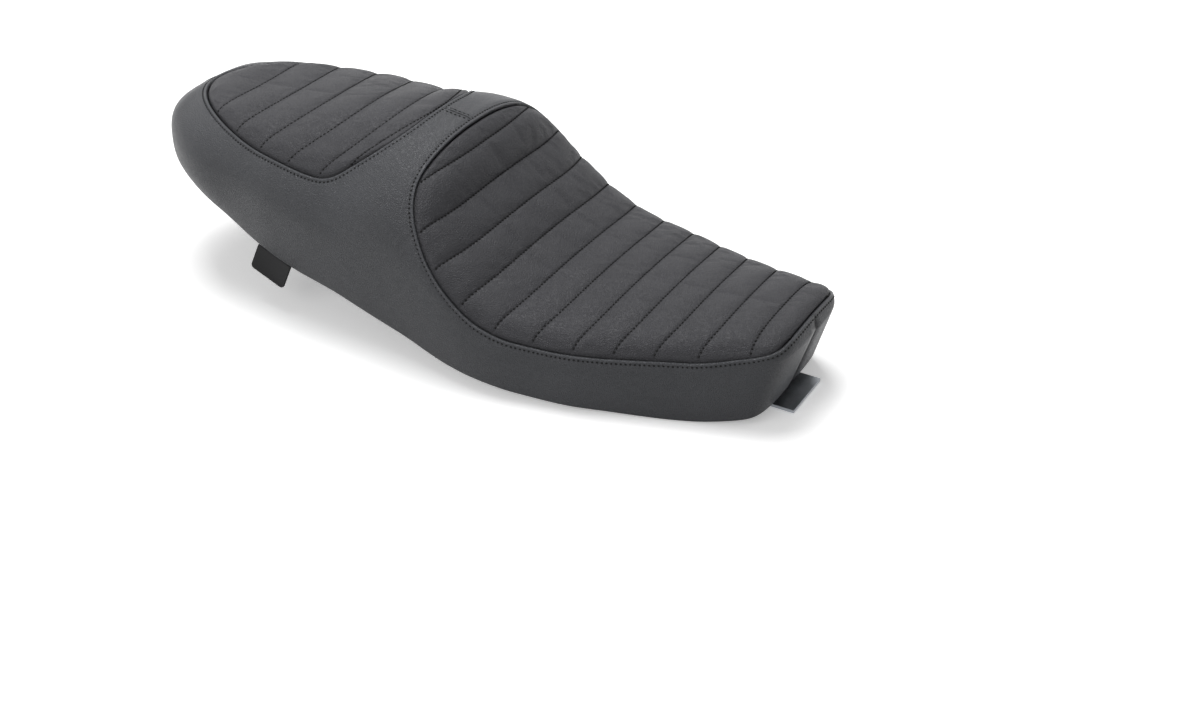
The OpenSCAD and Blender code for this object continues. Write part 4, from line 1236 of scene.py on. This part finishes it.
# Lamps over and in front of the seat: name, place, size and power, all aimed at one point
LAMPS = (
    ("key", (-0.35, 0.3, 1.9), 1.2, 37),
    ("fill", (-0.25, -1.8, 1.0), 1.4, 13),
)
LAMP_AIM = Vector((0.0, 0.0, 0.1))
# The camera: place in millimetres, degrees that it looks down and is turned, lens and sensor width
EYE = (804.4, -1181.2, 863.3)
EYE_DOWN = 33.143
EYE_TURN = 29.743
LENS = 50
SENSOR_W = 36


class SEAT_OT_stage(bpy.types.Operator):
    """Sets the floor, the light and the camera"""

    bl_idname = "seat.stage"
    bl_label = "Studio"

    def execute(self, context):
        scene = context.scene
        scene.view_settings.view_transform = "Standard"
        bm = bmesh.new()
        bmesh.ops.create_grid(bm, x_segments=1, y_segments=1, size=FLOOR_HALF)
        floor = object_from(bm, "floor", smooth=False)
        floor.data.materials.append(white_paper())
        world = bpy.data.worlds.new("Studio")
        scene.world = world
        world.use_nodes = True
        tree = world.node_tree
        sky = tree.nodes["Background"]
        sky.inputs["Color"].default_value = WHITE
        sky.inputs["Strength"].default_value = SKY_LIGHT
        seen = add_node(tree, "ShaderNodeBackground", {"Color": WHITE})
        both = add_node(tree, "ShaderNodeMixShader", {0: seen_directly(tree), 1: sky.outputs[0],
                                                      2: seen.outputs[0]})
        tree.links.new(both.outputs[0], tree.nodes["World Output"].inputs["Surface"])
        for name, place, size, power in LAMPS:
            lamp = bpy.data.lights.new(name, "AREA")
            lamp.shape = "SQUARE"
            lamp.size = size
            lamp.energy = power
            obj = bpy.data.objects.new(name, lamp)
            obj.location = place
            obj.rotation_euler = (LAMP_AIM - Vector(place)).to_track_quat("-Z", "Y").to_euler()
            scene.collection.objects.link(obj)
        camera = bpy.data.cameras.new("camera")
        camera.lens = LENS
        camera.sensor_width = SENSOR_W
        camera.sensor_fit = "HORIZONTAL"
        eye = bpy.data.objects.new("camera", camera)
        eye.location = Vector(EYE) * MM
        eye.rotation_euler = (math.radians(90 - EYE_DOWN), 0, math.radians(EYE_TURN))
        scene.collection.objects.link(eye)
        scene.camera = eye
        return {"FINISHED"}


class SEAT_PT_panel(bpy.types.Panel):
    """Lists the seat's operators"""

    bl_idname = "SEAT_PT_panel"
    bl_label = "Motorcycle Seat"
    bl_space_type = "VIEW_3D"
    bl_region_type = "UI"
    bl_category = "Seat"

    def draw(self, context):
        for group in (context.scene.seat_looks, context.scene.seat_colours):
            for name in type(group).__annotations__:
                self.layout.prop(group, name)
        for kind in OPERATORS:
            self.layout.operator(kind.bl_idname)


OPERATORS = (SEAT_OT_stage, SEAT_OT_base, SEAT_OT_pads, SEAT_OT_covers, SEAT_OT_thread, SEAT_OT_label)
CLASSES = (SeatLooks, SeatColours) + OPERATORS + (SEAT_PT_panel,)


def register():
    for kind in CLASSES:
        bpy.utils.register_class(kind)
    bpy.types.Scene.seat_looks = bpy.props.PointerProperty(type=SeatLooks)
    bpy.types.Scene.seat_colours = bpy.props.PointerProperty(type=SeatColours)


def unregister():
    del bpy.types.Scene.seat_colours
    del bpy.types.Scene.seat_looks
    for kind in reversed(CLASSES):
        bpy.utils.unregister_class(kind)


def main():
    register()
    bpy.ops.seat.stage()
    bpy.ops.seat.base()
    bpy.ops.seat.pads()
    bpy.ops.seat.covers()
    bpy.ops.seat.thread()
    bpy.ops.seat.label()


if __name__ == "__main__":
    main()
